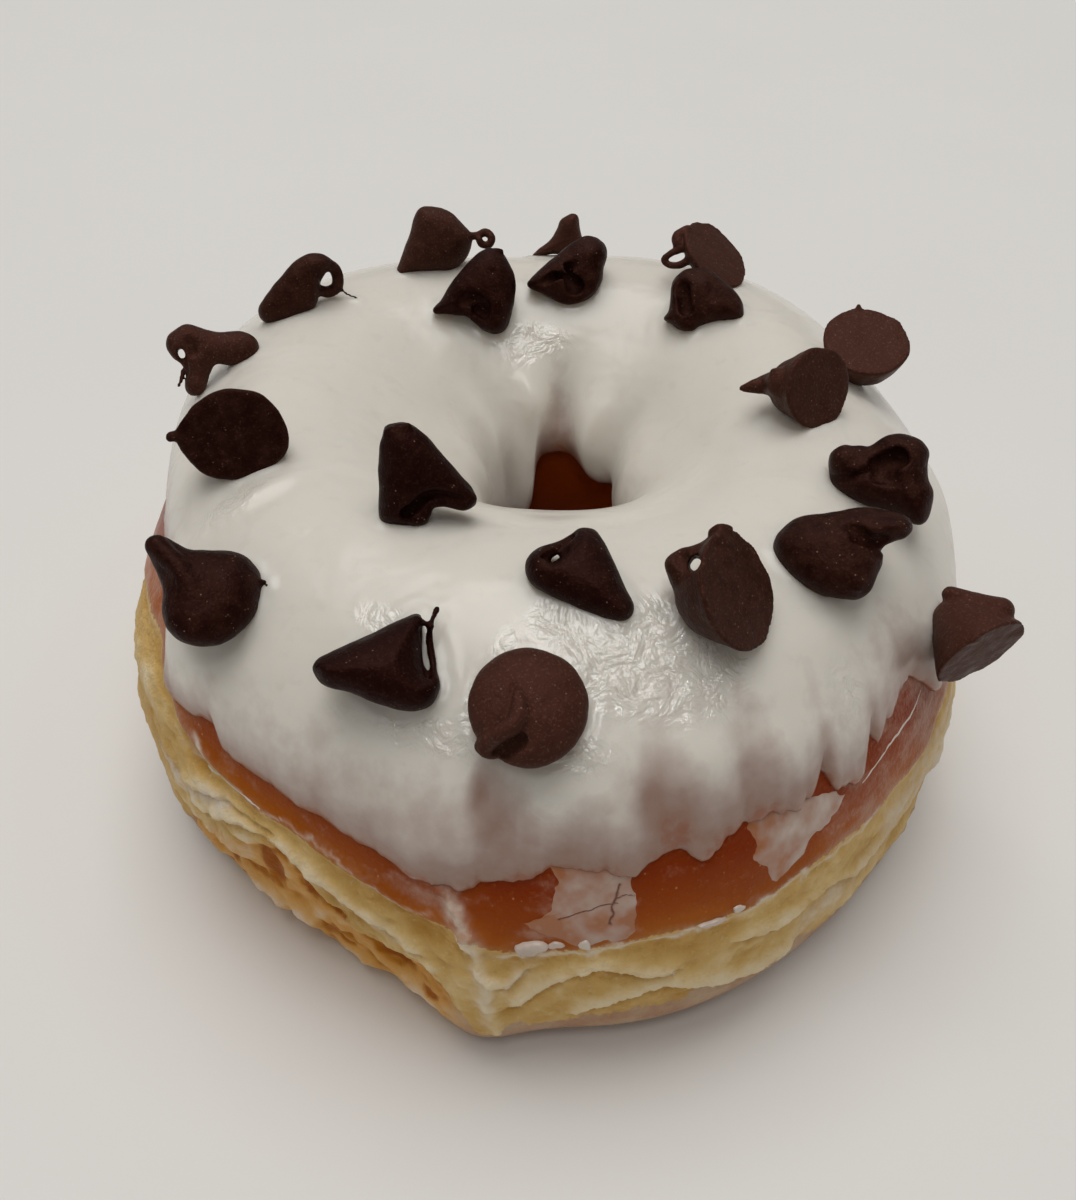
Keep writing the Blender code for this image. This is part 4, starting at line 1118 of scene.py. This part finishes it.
FRONT_FLAKE = (
    (279.0, 10.6), (279.0, 6.6), (279.5, 4.4), (278.8, 2.9), (277.4, 2.5), (276.0, 2.6), (274.6, 2.0),
    (273.2, 2.3), (271.4, 3.0), (269.2, 3.4), (268.4, 4.0), (270.2, 5.0), (271.4, 6.6), (271.8, 8.4),
    (271.0, 10.6),
)
FLAKE_CRACKS = (
    (((272.0, 5.0), (273.6, 5.6), (274.9, 5.9), (276.0, 6.3), (277.6, 6.5)), 0.05),
    (((277.9, 8.0), (277.5, 6.9), (277.1, 6.2), (277.2, 5.4), (276.9, 4.6)), 0.10),
    (((277.5, 6.9), (278.4, 7.1), (279.2, 7.0)), 0.05),
)
SIDE_FLAKE = (
    (292.0, 10.4), (297.0, 10.2), (302.0, 9.4), (305.2, 7.4), (303.6, 6.4), (300.6, 6.0), (298.2, 4.7),
    (296.4, 4.3), (295.0, 3.8), (293.8, 5.0), (292.6, 7.2),
)
# Each flake: its name, outline, cover, seed and cracks.
FLAKES = (
    ("cracked_glaze_flake", FRONT_FLAKE, 0.10, 301, FLAKE_CRACKS),
    ("side_glaze_flake", SIDE_FLAKE, 0.30, 311, ()),
)
FLAKE_THICKNESS, GLAZE_SINK = 0.10, 0.15
# Cloudiness of a flake: height and size of its clouds, and what it gains a degree round the ring.
FLAKE_CLOUDS, FLAKE_CLOUD_SIZE, FLAKE_SHADING = 0.22, 1.6, 0.022
CRACK_WANDER, CRACK_WANDER_SIZE, CRACK_VARIES, CRACK_VARY_SIZE, CRACK_DEPTH = 0.12, 0.7, 0.5, 0.9, 0.9
# Thick lumps: clock, reach, half width and half height in mm, thickness.
LUMPS = (
    (269.3, 1.8, 1.20, 0.85, 0.50), (271.6, 2.5, 0.55, 0.40, 0.30), (274.4, 2.5, 0.40, 0.60, 0.26),
    (287.4, 2.5, 1.2, 0.42, 0.30), (290.2, 2.9, 0.60, 0.30, 0.24), (283.3, -2.8, 0.36, 0.26, 0.20),
)
# Ribbons of glaze: (clock, reach, half width) along each, and the thickness.
RIBBONS = (
    (((224.8, 5.2, 0.12), (228.6, 5.3, 0.16), (233.1, 5.6, 0.11), (237.0, 5.2, 0.13)), 0.10),
    (((308.0, 7.2, 0.12), (311.6, 7.8, 0.09), (315.0, 8.4, 0.10), (319.0, 8.6, 0.09),
      (323.0, 9.4, 0.12)), 0.09),
)
LUMP_COVER, RIBBON_COVER = 0.66, 0.80
LUMP_POINTS, LUMP_SQUARE, LUMP_SKEW = 14, 0.22, 0.14
# A thin piece's rim: how rough it is, less so when it is short, and how steeply it rounds off; and
# how uneven the piece is within it.
RIM_ROUGHNESS, RIM_ROUGH_SIZE, RIM_GAIN, RIM_LEAST, RIM_STEEPNESS = 0.34, 1.4, 0.06, 0.15, 9
PATCH_VARIES, PATCH_VARY_SIZE = 0.35, 1.2
# A ribbon's unevenness, least half width, the half width at which it is as thick as given, and the
# bluntness of its tips.
RIBBON_WANDER, RIBBON_WANDER_SIZE, RIBBON_VARIES, RIBBON_VARY_SIZE = 0.22, 1.6, 0.6, 1.1
RIBBON_LEAST, RIBBON_FULL, RIBBON_TIP = 0.05, 0.2, 0.02


def drift(line, size, seed):
    """A smooth shift of points in the plane, both ways."""
    places = flat(line[..., 0], line[..., 1])
    return np.stack([layered(places, size, seed + k) for k in (0, 9)], axis=-1)


def flake_rings(clock, reach, thick, offset):
    """Rings of a thin piece lying on the dough: out from its middle over the top, given as rows of
    (clock, reach) out to its outline, and back underneath just inside the dough."""
    form, normal = dough_point(clock, reach), ring_normal(clock, reach)
    top = form + normal * thick[..., None]
    return np.concatenate([top, (form - normal * GLAZE_SINK)[::-1]]) + offset


def outline_patch(outline, thickness, seed, rings=64, sides=300):
    """A thin piece's rows of clock, reach and thickness: straight runs between its outline's points,
    roughened by noise and drawn in to its middle; thick almost to the rim."""
    points = np.array(outline + outline[:1], float) * [MM_PER_DEGREE, 1]
    run = run_length(points)
    at = np.linspace(0, run[-1], sides, endpoint=False)
    rim = np.stack([np.interp(at, run, points[:, k]) for k in (0, 1)], axis=-1)
    rough = RIM_ROUGHNESS * min(1.0, RIM_GAIN * run[-1] + RIM_LEAST)
    rim = rim + rough * drift(rim, RIM_ROUGH_SIZE, seed)
    middle = rim.mean(axis=0)
    share = np.linspace(0, 1, rings)[:, None]
    rows = middle + (rim - middle)[None] * share[..., None]
    uneven = 1 + PATCH_VARIES * layered(flat(rows[..., 0], rows[..., 1]), PATCH_VARY_SIZE, seed + 3)
    thick = thickness * (1 - share ** RIM_STEEPNESS) * uneven
    return rows[..., 0] / MM_PER_DEGREE, rows[..., 1], thick


def ribbon_rings(route, thickness, seed, offset, stations=120, sides=14):
    """A flat ribbon's rings along a route of (clock, reach, half width): each a flattened half
    ellipse standing on the dough."""
    points = np.array(route, float) * [MM_PER_DEGREE, 1, 1]
    run = run_length(points[:, :2])
    at = np.linspace(0, run[-1], stations)
    line = np.stack([np.interp(at, run, points[:, k]) for k in range(3)], axis=-1)
    line[:, :2] += RIBBON_WANDER * drift(line[:, :2], RIBBON_WANDER_SIZE, seed)
    along = np.gradient(line[:, :2], axis=0)
    along /= np.linalg.norm(along, axis=1, keepdims=True)
    ends = np.sqrt(np.sin(np.pi * (at + RIBBON_TIP) / (run[-1] + 2 * RIBBON_TIP)))
    half = 1 + RIBBON_VARIES * layered(flat(line[:, 0], line[:, 1]), RIBBON_VARY_SIZE, seed + 4)
    half = np.maximum(line[:, 2] * half * ends, RIBBON_LEAST)
    turn = np.linspace(0, 2 * np.pi, sides, endpoint=False)
    across = np.stack([-along[:, 1], along[:, 0]], axis=-1)
    spot = line[:, None, :2] + across[:, None, :] * (half[:, None] * np.cos(turn))[..., None]
    lift = np.where(np.sin(turn) > 0, thickness, GLAZE_SINK) * np.sin(turn)
    lift = lift * np.minimum(1, half / RIBBON_FULL)[:, None]
    clock, reach = spot[..., 0] / MM_PER_DEGREE, spot[..., 1]
    return dough_point(clock, reach) + ring_normal(clock, reach) * lift[..., None] + offset


def make_flake(name, outline, cover, seed, cracks, offset, finish):
    """A flake of glaze, cloudy in places and broken along its cracks."""
    clock, reach, thick = outline_patch(outline, FLAKE_THICKNESS, seed)
    places = flat(clock * MM_PER_DEGREE, reach)
    crack = np.zeros(clock.shape)
    for route, wide in cracks:
        off, _ = route_distance(clock, reach, route)
        off = off + CRACK_WANDER * layered(places, CRACK_WANDER_SIZE, seed + 2)
        spread = wide * (1 + CRACK_VARIES * noise(places, CRACK_VARY_SIZE, seed + 4))
        crack = np.maximum(crack, ridge(off, 1, 0, spread))
    shade = cover + FLAKE_CLOUDS * layered(places, FLAKE_CLOUD_SIZE, seed + 5)
    shade = shade + FLAKE_SHADING * (clock - clock.mean())
    rings = flake_rings(clock, reach, thick * (1 - CRACK_DEPTH * crack), offset)
    values = {
        label: [np.concatenate([value, value[::-1]])]
        for label, value in (("cover", shade), ("crack", crack), ("crinkle", 0 * crack))
    }
    add_piece(capped_mesh(name, [rings], **values), finish)


def lump_rings(number, offset):
    """A thick lump's rings: its outline is an ellipse, a little squared and skewed."""
    at, up, wide, tall, thickness = LUMPS[number]
    turn = np.linspace(0, 2 * np.pi, LUMP_POINTS, endpoint=False)
    uneven = 1 + LUMP_SQUARE * np.sin(2 * turn + number) + LUMP_SKEW * np.sin(3 * turn + 2 * number)
    clock, reach = at + wide * uneven * np.cos(turn) / MM_PER_DEGREE, up + tall * uneven * np.sin(turn)
    patch = outline_patch(tuple(zip(clock, reach)), thickness, 400 + 11 * number, 12, 40)
    return flake_rings(*patch, offset)


def make_glaze(offset, finish):
    """The flakes, lumps and ribbons of glaze that have run or broken off below the icing's edge."""
    for flake in FLAKES:
        make_flake(*flake, offset, finish)
    lumps = [lump_rings(number, offset) for number in range(len(LUMPS))]
    ribbons = [ribbon_rings(*ribbon, 500 + 13 * k, offset) for k, ribbon in enumerate(RIBBONS)]
    runs = (("glaze_lumps", lumps, LUMP_COVER), ("glaze_ribbons", ribbons, RIBBON_COVER))
    for name, grids, cover in runs:
        bare = [np.zeros(grid.shape[:2]) for grid in grids]
        mesh = capped_mesh(name, grids, cover=[value + cover for value in bare], crack=bare, crinkle=bare)
        add_piece(mesh, finish)


# ---------------------------------------------------------------- chocolate chips

# The viewer's place: how high up it is, how far from what it looks at, and that point, in mm; and
# the lens and the sensor behind it.
CAMERA_ELEVATION, CAMERA_DISTANCE = np.radians(42.0), 133.6
CAMERA_LENS, CAMERA_SENSOR, CAMERA_CLIP = 36.0, 36.0, 0.005
LOOK_AT = (0.0, -1.0, 13.6)
ACROSS = np.array([1.0, 0.0, 0.0])
TOWARDS = np.array([0.0, -np.cos(CAMERA_ELEVATION), np.sin(CAMERA_ELEVATION)])

# How widely a chip's shapes are rounded where they join, where they are cut, at a kiss's side and at
# its base; how uneven its skin is; and what room a grid leaves round it.
JOINED, CUT, KISS_SIDE, KISS_BASE = 0.30, 0.35, 1.2, 0.25
CHIP_LUMPS, CHIP_LUMP_SIZE, CHIP_ROUGHNESS, CHIP_ROUGH_SIZE = 0.09, 1.7, 0.035, 0.65
CHIP_MARGIN = 0.9
# How near on a face a thread's point looks for it, and what keeps a division from being by nothing.
FACE_SEARCH, FACE_SLACK, TINY = 0.30, 0.01, 1e-12
# How far a chip may slide along the line of sight, how far from it and over which reach the icing
# is searched, and which of the chip's points are tried.
SLIDES = np.arange(-4.0, 11.0, 0.4)
ICING_SEARCH, ICED_REACH, EVERY_TWELFTH = 12.0, (6, 54), slice(None, None, 12)


def unit(vector):
    return np.array(vector, float) / np.linalg.norm(vector)


def merge(first, second, width):
    """The nearer of two distances, rounded where they're within a width of each other."""
    share = np.clip(0.5 + 0.5 * (second - first) / width, 0, 1)
    return second * (1 - share) + first * share - width * share * (1 - share)


def rounded_line(points, steps=7, closed=False):
    """A smooth line through points: between each two, a cubic with the slope of their neighbours."""
    points = np.array(points, float)
    before = np.roll(points, 1, axis=0) if closed else np.concatenate([points[:1], points[:-1]])
    after = np.roll(points, -1, axis=0) if closed else np.concatenate([points[1:], points[-1:]])
    slope = (after - before) / 2
    count = len(points) if closed else len(points) - 1
    t = np.arange(steps)[None, :, None] / steps
    here, there = points[:count, None], after[:count, None]
    leaving, arriving = slope[:count, None], np.roll(slope, -1, axis=0)[:count, None]
    line = (
        (2 * t**3 - 3 * t**2 + 1) * here + (t**3 - 2 * t**2 + t) * leaving
        + (3 * t**2 - 2 * t**3) * there + (t**3 - t**2) * arriving
    ).reshape(-1, points.shape[1])
    return line if closed else np.concatenate([line, points[-1:]])


def outline_distance(across, up, outline):
    """Distance to a closed line in the plane, negative inside: a point is inside when a ray from it
    crosses the line an odd number of times."""
    line = rounded_line(outline, 5, closed=True)
    nearest, inside = np.full(across.shape, np.inf), np.zeros(across.shape, bool)
    for (x0, y0), (x1, y1) in zip(line, np.roll(line, -1, axis=0)):
        run_x, run_y = x1 - x0, y1 - y0
        share = ((across - x0) * run_x + (up - y0) * run_y) / (run_x ** 2 + run_y ** 2 + TINY)
        share = np.clip(share, 0, 1)
        away = np.hypot(across - x0 - share * run_x, up - y0 - share * run_y)
        nearest = np.minimum(nearest, away)
        inside ^= ((y0 > up) != (y1 > up)) & (across < run_x * (up - y0) / (run_y + TINY) + x0)
    return np.where(inside, -nearest, nearest)


def lump_field(points, outline, shape):
    """A pillow: its half-height falls from full to nothing over a roll-off inside its outline, as a
    quarter ellipse does."""
    front, front_roll, back, back_roll, lean = shape
    inwards = outline_distance(points[..., 0, 0], points[..., 0, 1], outline)[..., None]
    depth = points[..., 2] - lean * points[..., 1]
    roll = np.where(depth > 0, front_roll, back_roll)
    height = np.where(depth > 0, front, back)
    return np.sqrt(np.maximum(inwards + roll, 0) ** 2 + (depth * roll / height) ** 2) - roll


def kiss_field(points, middle, ahead, base_radius, length, tip_radius, fullness):
    """A body of revolution from a flat base to a blunt tip, with a slightly rounded rim."""
    seen = points - np.array(middle)
    ahead = unit(ahead)
    along = seen @ ahead
    out = np.sqrt(np.maximum((seen**2).sum(axis=-1) - along**2, 0))
    share = np.clip(along / length, 0, 1)
    radius = tip_radius + (base_radius - tip_radius) * (1 - share) ** fullness
    side = merge(radius - out, length - along, KISS_SIDE)
    return -merge(side, along, KISS_BASE)


def line_field(points, line, radius):
    """Distance to a round thread along a line, of one radius or tapering between two."""
    thick = np.linspace(*(radius if isinstance(radius, tuple) else (radius, radius)), len(line))
    nearest = np.full(points.shape[:-1], np.inf)
    for start, end, first, last in zip(line[:-1], line[1:], thick[:-1], thick[1:]):
        run = end - start
        share = np.clip(((points - start) @ run) / (run @ run + 1e-9), 0, 1)
        away = np.sqrt(((points - start - share[..., None] * run) ** 2).sum(axis=-1))
        nearest = np.minimum(nearest, away - first - (last - first) * share)
    return nearest


def on_face(line, points, field):
    """(across, up, lift) points set on the front of the shape, or level with its nearest edge."""
    depth = np.where(field < 0, points[..., 2], -np.inf).max(axis=-1)
    filled = np.isfinite(depth)
    across, up, depth = points[:, :, 0, 0][filled], points[:, :, 0, 1][filled], depth[filled]
    placed = []
    for x, y, lift in line:
        away = (across - x) ** 2 + (up - y) ** 2
        close = away < max(FACE_SEARCH**2, away.min() + FACE_SLACK)
        placed.append((x, y, np.median(depth[close]) + lift))
    return np.array(placed)


def chip_field(points, shapes, seed):
    """How far points are outside a chip, as its shapes in turn make it."""
    field = None
    for kind, *details in shapes:
        if kind == "lump":
            shape = lump_field(points, *details)
        elif kind == "kiss":
            shape = kiss_field(points, *details)
        elif kind == "hole":
            line = np.array([(x, y, 0.0) for x, y in details[0]])
            shape = line_field(points * (1, 1, 0), line, details[1])
        else:
            line = rounded_line(on_face(details[0], points, field), 4)
            shape = line_field(points, line, details[1])
        if field is None:
            field = shape
        elif kind in ("dent", "hole"):
            field = -merge(-field, shape, CUT)
        else:
            field = merge(field, shape, JOINED)
    lumps = CHIP_LUMPS * noise(points, CHIP_LUMP_SIZE, seed)
    return field + lumps + CHIP_ROUGHNESS * noise(points, CHIP_ROUGH_SIZE, seed + 1)


def skin_mesh(field, low, step):
    """Points and faces of the surface where a field on a grid is nothing. Each cell that it crosses
    gets one point, the mean of where it crosses the cell's edges; each crossed edge gets a face."""
    shape = np.array(field.shape)
    total, count = np.zeros((*shape, 3)), np.zeros(shape)
    crossed = []
    for axis in range(3):
        here = [slice(None)] * 3
        there = [slice(None)] * 3
        here[axis], there[axis] = slice(0, -1), slice(1, None)
        a, b = field[tuple(here)], field[tuple(there)]
        where = np.argwhere((a < 0) != (b < 0))
        first, second = a[tuple(where.T)], b[tuple(where.T)]
        spot = where.astype(float)
        spot[:, axis] += first / (first - second)
        beside = [k for k in range(3) if k != axis]
        cells = []
        for one, other in ((0, 0), (1, 0), (1, 1), (0, 1)):
            cell = where.copy()
            cell[:, beside[0]] -= one
            cell[:, beside[1]] -= other
            np.add.at(total, tuple(cell.T), spot)
            np.add.at(count, tuple(cell.T), 1)
            cells.append(np.ravel_multi_index(tuple(cell.T), shape))
        faces = np.stack(cells, axis=-1)
        flip = (first > 0) != (axis == 1)
        faces[flip] = faces[flip, ::-1]
        crossed.append(faces)
    used = np.flatnonzero(count)
    index = np.full(count.size, -1)
    index[used] = np.arange(len(used))
    points = low + step * total.reshape(-1, 3)[used] / count.reshape(-1)[used, None]
    return points, index[np.concatenate(crossed)]


def chip_reach(shapes):
    """The lowest and highest corners that a chip's shapes reach to, with a margin."""
    spread = []
    for kind, *details in shapes:
        if kind == "lump":
            front, _, back, _, lean = details[1]
            outline = np.array(details[0])
            for depth in (front, -back):
                spread.append(np.column_stack([outline, lean * outline[:, 1] + depth]))
        elif kind == "kiss":
            middle, ahead, base_radius, length, tip_radius, _ = details
            spread.append(np.array(middle) + np.outer([-1, 1], [base_radius] * 3))
            spread.append(np.array(middle) + unit(ahead) * length + np.outer([-1, 1], [tip_radius] * 3))
        elif kind == "bead":
            line = np.array(details[0])
            spread.append(line * (1, 1, 0))
    spread = np.concatenate(spread)
    return spread.min(axis=0) - CHIP_MARGIN, spread.max(axis=0) + CHIP_MARGIN


def chip_mesh(number, shapes):
    """A chip's points in its own view's axes, and its faces."""
    low, high = chip_reach(shapes)
    counts = np.ceil((high - low) / CHIP_GRAIN_MM).astype(int) + 1
    axes = [low[k] + CHIP_GRAIN_MM * np.arange(counts[k]) for k in range(3)]
    points = np.stack(np.meshgrid(*axes, indexing="ij"), axis=-1)
    return skin_mesh(chip_field(points, shapes, 100 + 7 * number), low, CHIP_GRAIN_MM)


def sunk_chip(points, number, sunk, offset):
    """A chip's points in the ring's frame, slid back along the viewer's line of sight until its
    deepest point is as far under the icing's smooth surface as it has sunk, or to where it comes
    nearest to that; what is left over is made up square to the surface."""
    low, high = (np.array(corner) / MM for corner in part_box(f"chip_{number:02d}"))
    middle = (low + high) / 2
    ray = unit(middle - (offset + LOOK_AT + CAMERA_DISTANCE * TOWARDS))
    across = unit(ACROSS - (ACROSS @ ray) * ray)
    placed = points @ np.stack([across, np.cross(across, ray), -ray]) + middle
    clock, reach = np.arange(0, 360, 1.5)[:, None], np.linspace(*ICED_REACH, 60)[None, :]
    normal = ring_normal(clock, reach).reshape(-1, 3)
    skin = ring_point(clock, reach).reshape(-1, 3) + normal * (ICING_THICKNESS + ICING_CLEARANCE) + offset
    close = ((skin - middle) ** 2).sum(axis=1) < ICING_SEARCH ** 2
    skin, normal = skin[close], normal[close]
    gaps, outwards = [], []
    for slid in SLIDES:
        here = placed[EVERY_TWELFTH] + slid * ray
        nearest = ((here[:, None, :] - skin[None, :, :]) ** 2).sum(axis=-1).argmin(axis=1)
        above = ((here - skin[nearest]) * normal[nearest]).sum(axis=1)
        gaps.append(above.min() + sunk)
        outwards.append(normal[nearest[above.argmin()]])
    gaps = np.array(gaps)
    chosen = np.argmax(gaps <= 0) if (gaps <= 0).any() else gaps.argmin()
    return placed + SLIDES[chosen] * ray - gaps[chosen] * outwards[chosen]


# Dark chocolate, and the lighter colour that stands for real dust and for painted light on the chips that
# face the lamps.
DARK_CHOCOLATE, DUSTY_LIT_CHOCOLATE = (0.0100, 0.0018, 0.0010), (0.058, 0.0215, 0.0140)
CHOCOLATE_GRAIN, CHOCOLATE_SPECK = (0.102, 0.052, 0.036), (0.20, 0.125, 0.095)


def chocolate_finish():
    """Satin dark chocolate, lighter in places by real dust and by painted light on the chips that face the
    lamps, with tiny pale specks.
    """
    look = Finish("dark_chocolate")
    cloudy, fine = look.noise(1.1, 5), look.noise(0.26, 3)
    # Painted light and real dust: each chip's share, clouded by noise, lightens it towards the paler
    # colour.
    dust_and_light = look.maths("ADD", look.attribute("dust_and_light"), look.maths("MULTIPLY_ADD", cloudy, 0.9, -0.45))
    dust_and_light = look.spread(dust_and_light, 0.0, 1.0)
    colour = look.blend(dust_and_light, DARK_CHOCOLATE, DUSTY_LIT_CHOCOLATE)
    grain = look.spread(look.noise(0.22, 2), 0.54, 0.71)
    grain = look.maths("MULTIPLY", grain, look.spread(dust_and_light, 0.0, 1.0, 0.16, 0.70))
    colour = look.blend(grain, colour, CHOCOLATE_GRAIN)
    specks = look.spread(look.cells(0.42), 0.10, 0.23, 0.80, 0.0)
    specks = look.maths("MULTIPLY", specks, look.spread(look.noise(0.7, 3), 0.53, 0.65))
    colour = look.blend(specks, colour, CHOCOLATE_SPECK)
    relief = look.bump(fine, 0.09, 0.7)
    relief = look.bump(look.noise(1.2, 4), 0.22, 0.6, relief)
    look.set(base_color=colour, roughness=look.spread(cloudy, 0.3, 0.7, 0.42, 0.58), normal=relief,
             specular_ior_level=0.14, specular_tint=(1.0, 0.42, 0.34))
    return look.material


# ---------------------------------------------------------------- the scene

# The lights' places in metres, and the surround's strength away from the broad lamp, what it gains
# towards it, and how fast.
LAMP_PLACE, LAMP_WIDTH, LAMP_POWER, LAMP_COLOUR = (-0.10, 0.36, 2.00), 1.70, 19.6, (1.0, 0.985, 0.965)
SKYLIGHT_PLACE, SKYLIGHT_WIDTH, SKYLIGHT_POWER = (-0.02, -0.70, 1.70), 0.34, 2.7
SKY_COLOUR, SKY_DIM, SKY_BRIGHT, SKY_FALLOFF = (1.0, 0.985, 0.97, 1), 0.118, 0.36, 1.5
LIT_POINT = (0, 0, 0.02)
FLOOR_DARK, FLOOR_PALE, FLOOR_HALF, FLOOR_CLOUDS_MM = (0.80, 0.79, 0.765), (0.84, 0.83, 0.805), 2, 60


def add_light(name, place, width, power):
    """A round lamp that faces the doughnut."""
    data = bpy.data.lights.new(name, "AREA")
    data.shape, data.size, data.energy, data.color = "DISK", width, power, LAMP_COLOUR
    light = bpy.data.objects.new(name, data)
    light.location = place
    light.rotation_euler = (Vector(LIT_POINT) - Vector(place)).to_track_quat("-Z", "Y").to_euler()
    bpy.context.scene.collection.objects.link(light)


def add_camera(offset):
    data = bpy.data.cameras.new("camera")
    data.lens, data.sensor_width, data.clip_start = CAMERA_LENS, CAMERA_SENSOR, CAMERA_CLIP
    camera = bpy.data.objects.new("camera", data)
    camera.location = (offset + LOOK_AT + CAMERA_DISTANCE * TOWARDS) * MM
    camera.rotation_euler = (np.pi / 2 - CAMERA_ELEVATION, 0, 0)
    bpy.context.scene.collection.objects.link(camera)
    bpy.context.scene.camera = camera


def add_floor():
    mesh = bpy.data.meshes.new("floor")
    corners = [(FLOOR_HALF * x, FLOOR_HALF * y, 0) for x, y in ((-1, -1), (1, -1), (1, 1), (-1, 1))]
    mesh.from_pydata(corners, [], [(0, 1, 2, 3)])
    floor = bpy.data.objects.new("floor", mesh)
    look = Finish("pale_floor")
    colour = look.blend(look.noise(FLOOR_CLOUDS_MM, 2), FLOOR_DARK, FLOOR_PALE)
    look.set(base_color=colour, roughness=0.7, specular_ior_level=0.2)
    mesh.materials.append(look.material)
    bpy.context.scene.collection.objects.link(floor)


def light_scene():
    """A broad lamp high behind the doughnut and a small bright one before it, over a pale surround
    that is brighter towards the broad lamp."""
    world = bpy.data.worlds.new("surround")
    surround = Nodes(world)
    aim = surround.nodes.new("ShaderNodeVectorMath")
    aim.operation = "DOT_PRODUCT"
    aim.inputs[1].default_value = Vector(LAMP_PLACE).normalized()
    surround.join(surround.nodes.new("ShaderNodeTexCoord").outputs["Generated"], aim.inputs[0])
    level = surround.maths("MAXIMUM", aim.outputs["Value"], 0.0)
    level = surround.maths("POWER", level, SKY_FALLOFF)
    level = surround.maths("MULTIPLY_ADD", level, SKY_BRIGHT, SKY_DIM)
    background = surround.nodes["Background"]
    surround.join(level, background.inputs["Strength"])
    surround.join(SKY_COLOUR, background.inputs["Color"])
    bpy.context.scene.world = world
    add_light("ceiling", LAMP_PLACE, LAMP_WIDTH, LAMP_POWER)
    add_light("skylight", SKYLIGHT_PLACE, SKYLIGHT_WIDTH, SKYLIGHT_POWER)
    bpy.context.scene.view_settings.view_transform = "Standard"


def main():
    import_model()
    offset = ring_offset()
    chocolate = chocolate_finish()
    chips = []
    for number, (shapes, sunk, dust_and_light) in enumerate(CHIPS, 1):
        points, faces = chip_mesh(number, shapes)
        points = sunk_chip(points, number, sunk, offset)
        chips.append(points)
        # Each chip's share of real dust and of painted light from the lamps.
        dust_and_light_share = np.full(len(points), dust_and_light)
        mesh = write_mesh(f"chocolate_chip_{number:02d}", points, [faces], {"dust_and_light": dust_and_light_share})
        add_piece(mesh, chocolate, (f"chip_{number:02d}",))
    make_dough(offset, dough_finish())
    make_icing(offset, chips, icing_finish("white_icing", WHITE_ICING, 0.65))
    make_glaze(offset, icing_finish("clear_glaze", CLEAR_GLAZE, 0.0))
    add_floor()
    light_scene()
    add_camera(offset)


main()
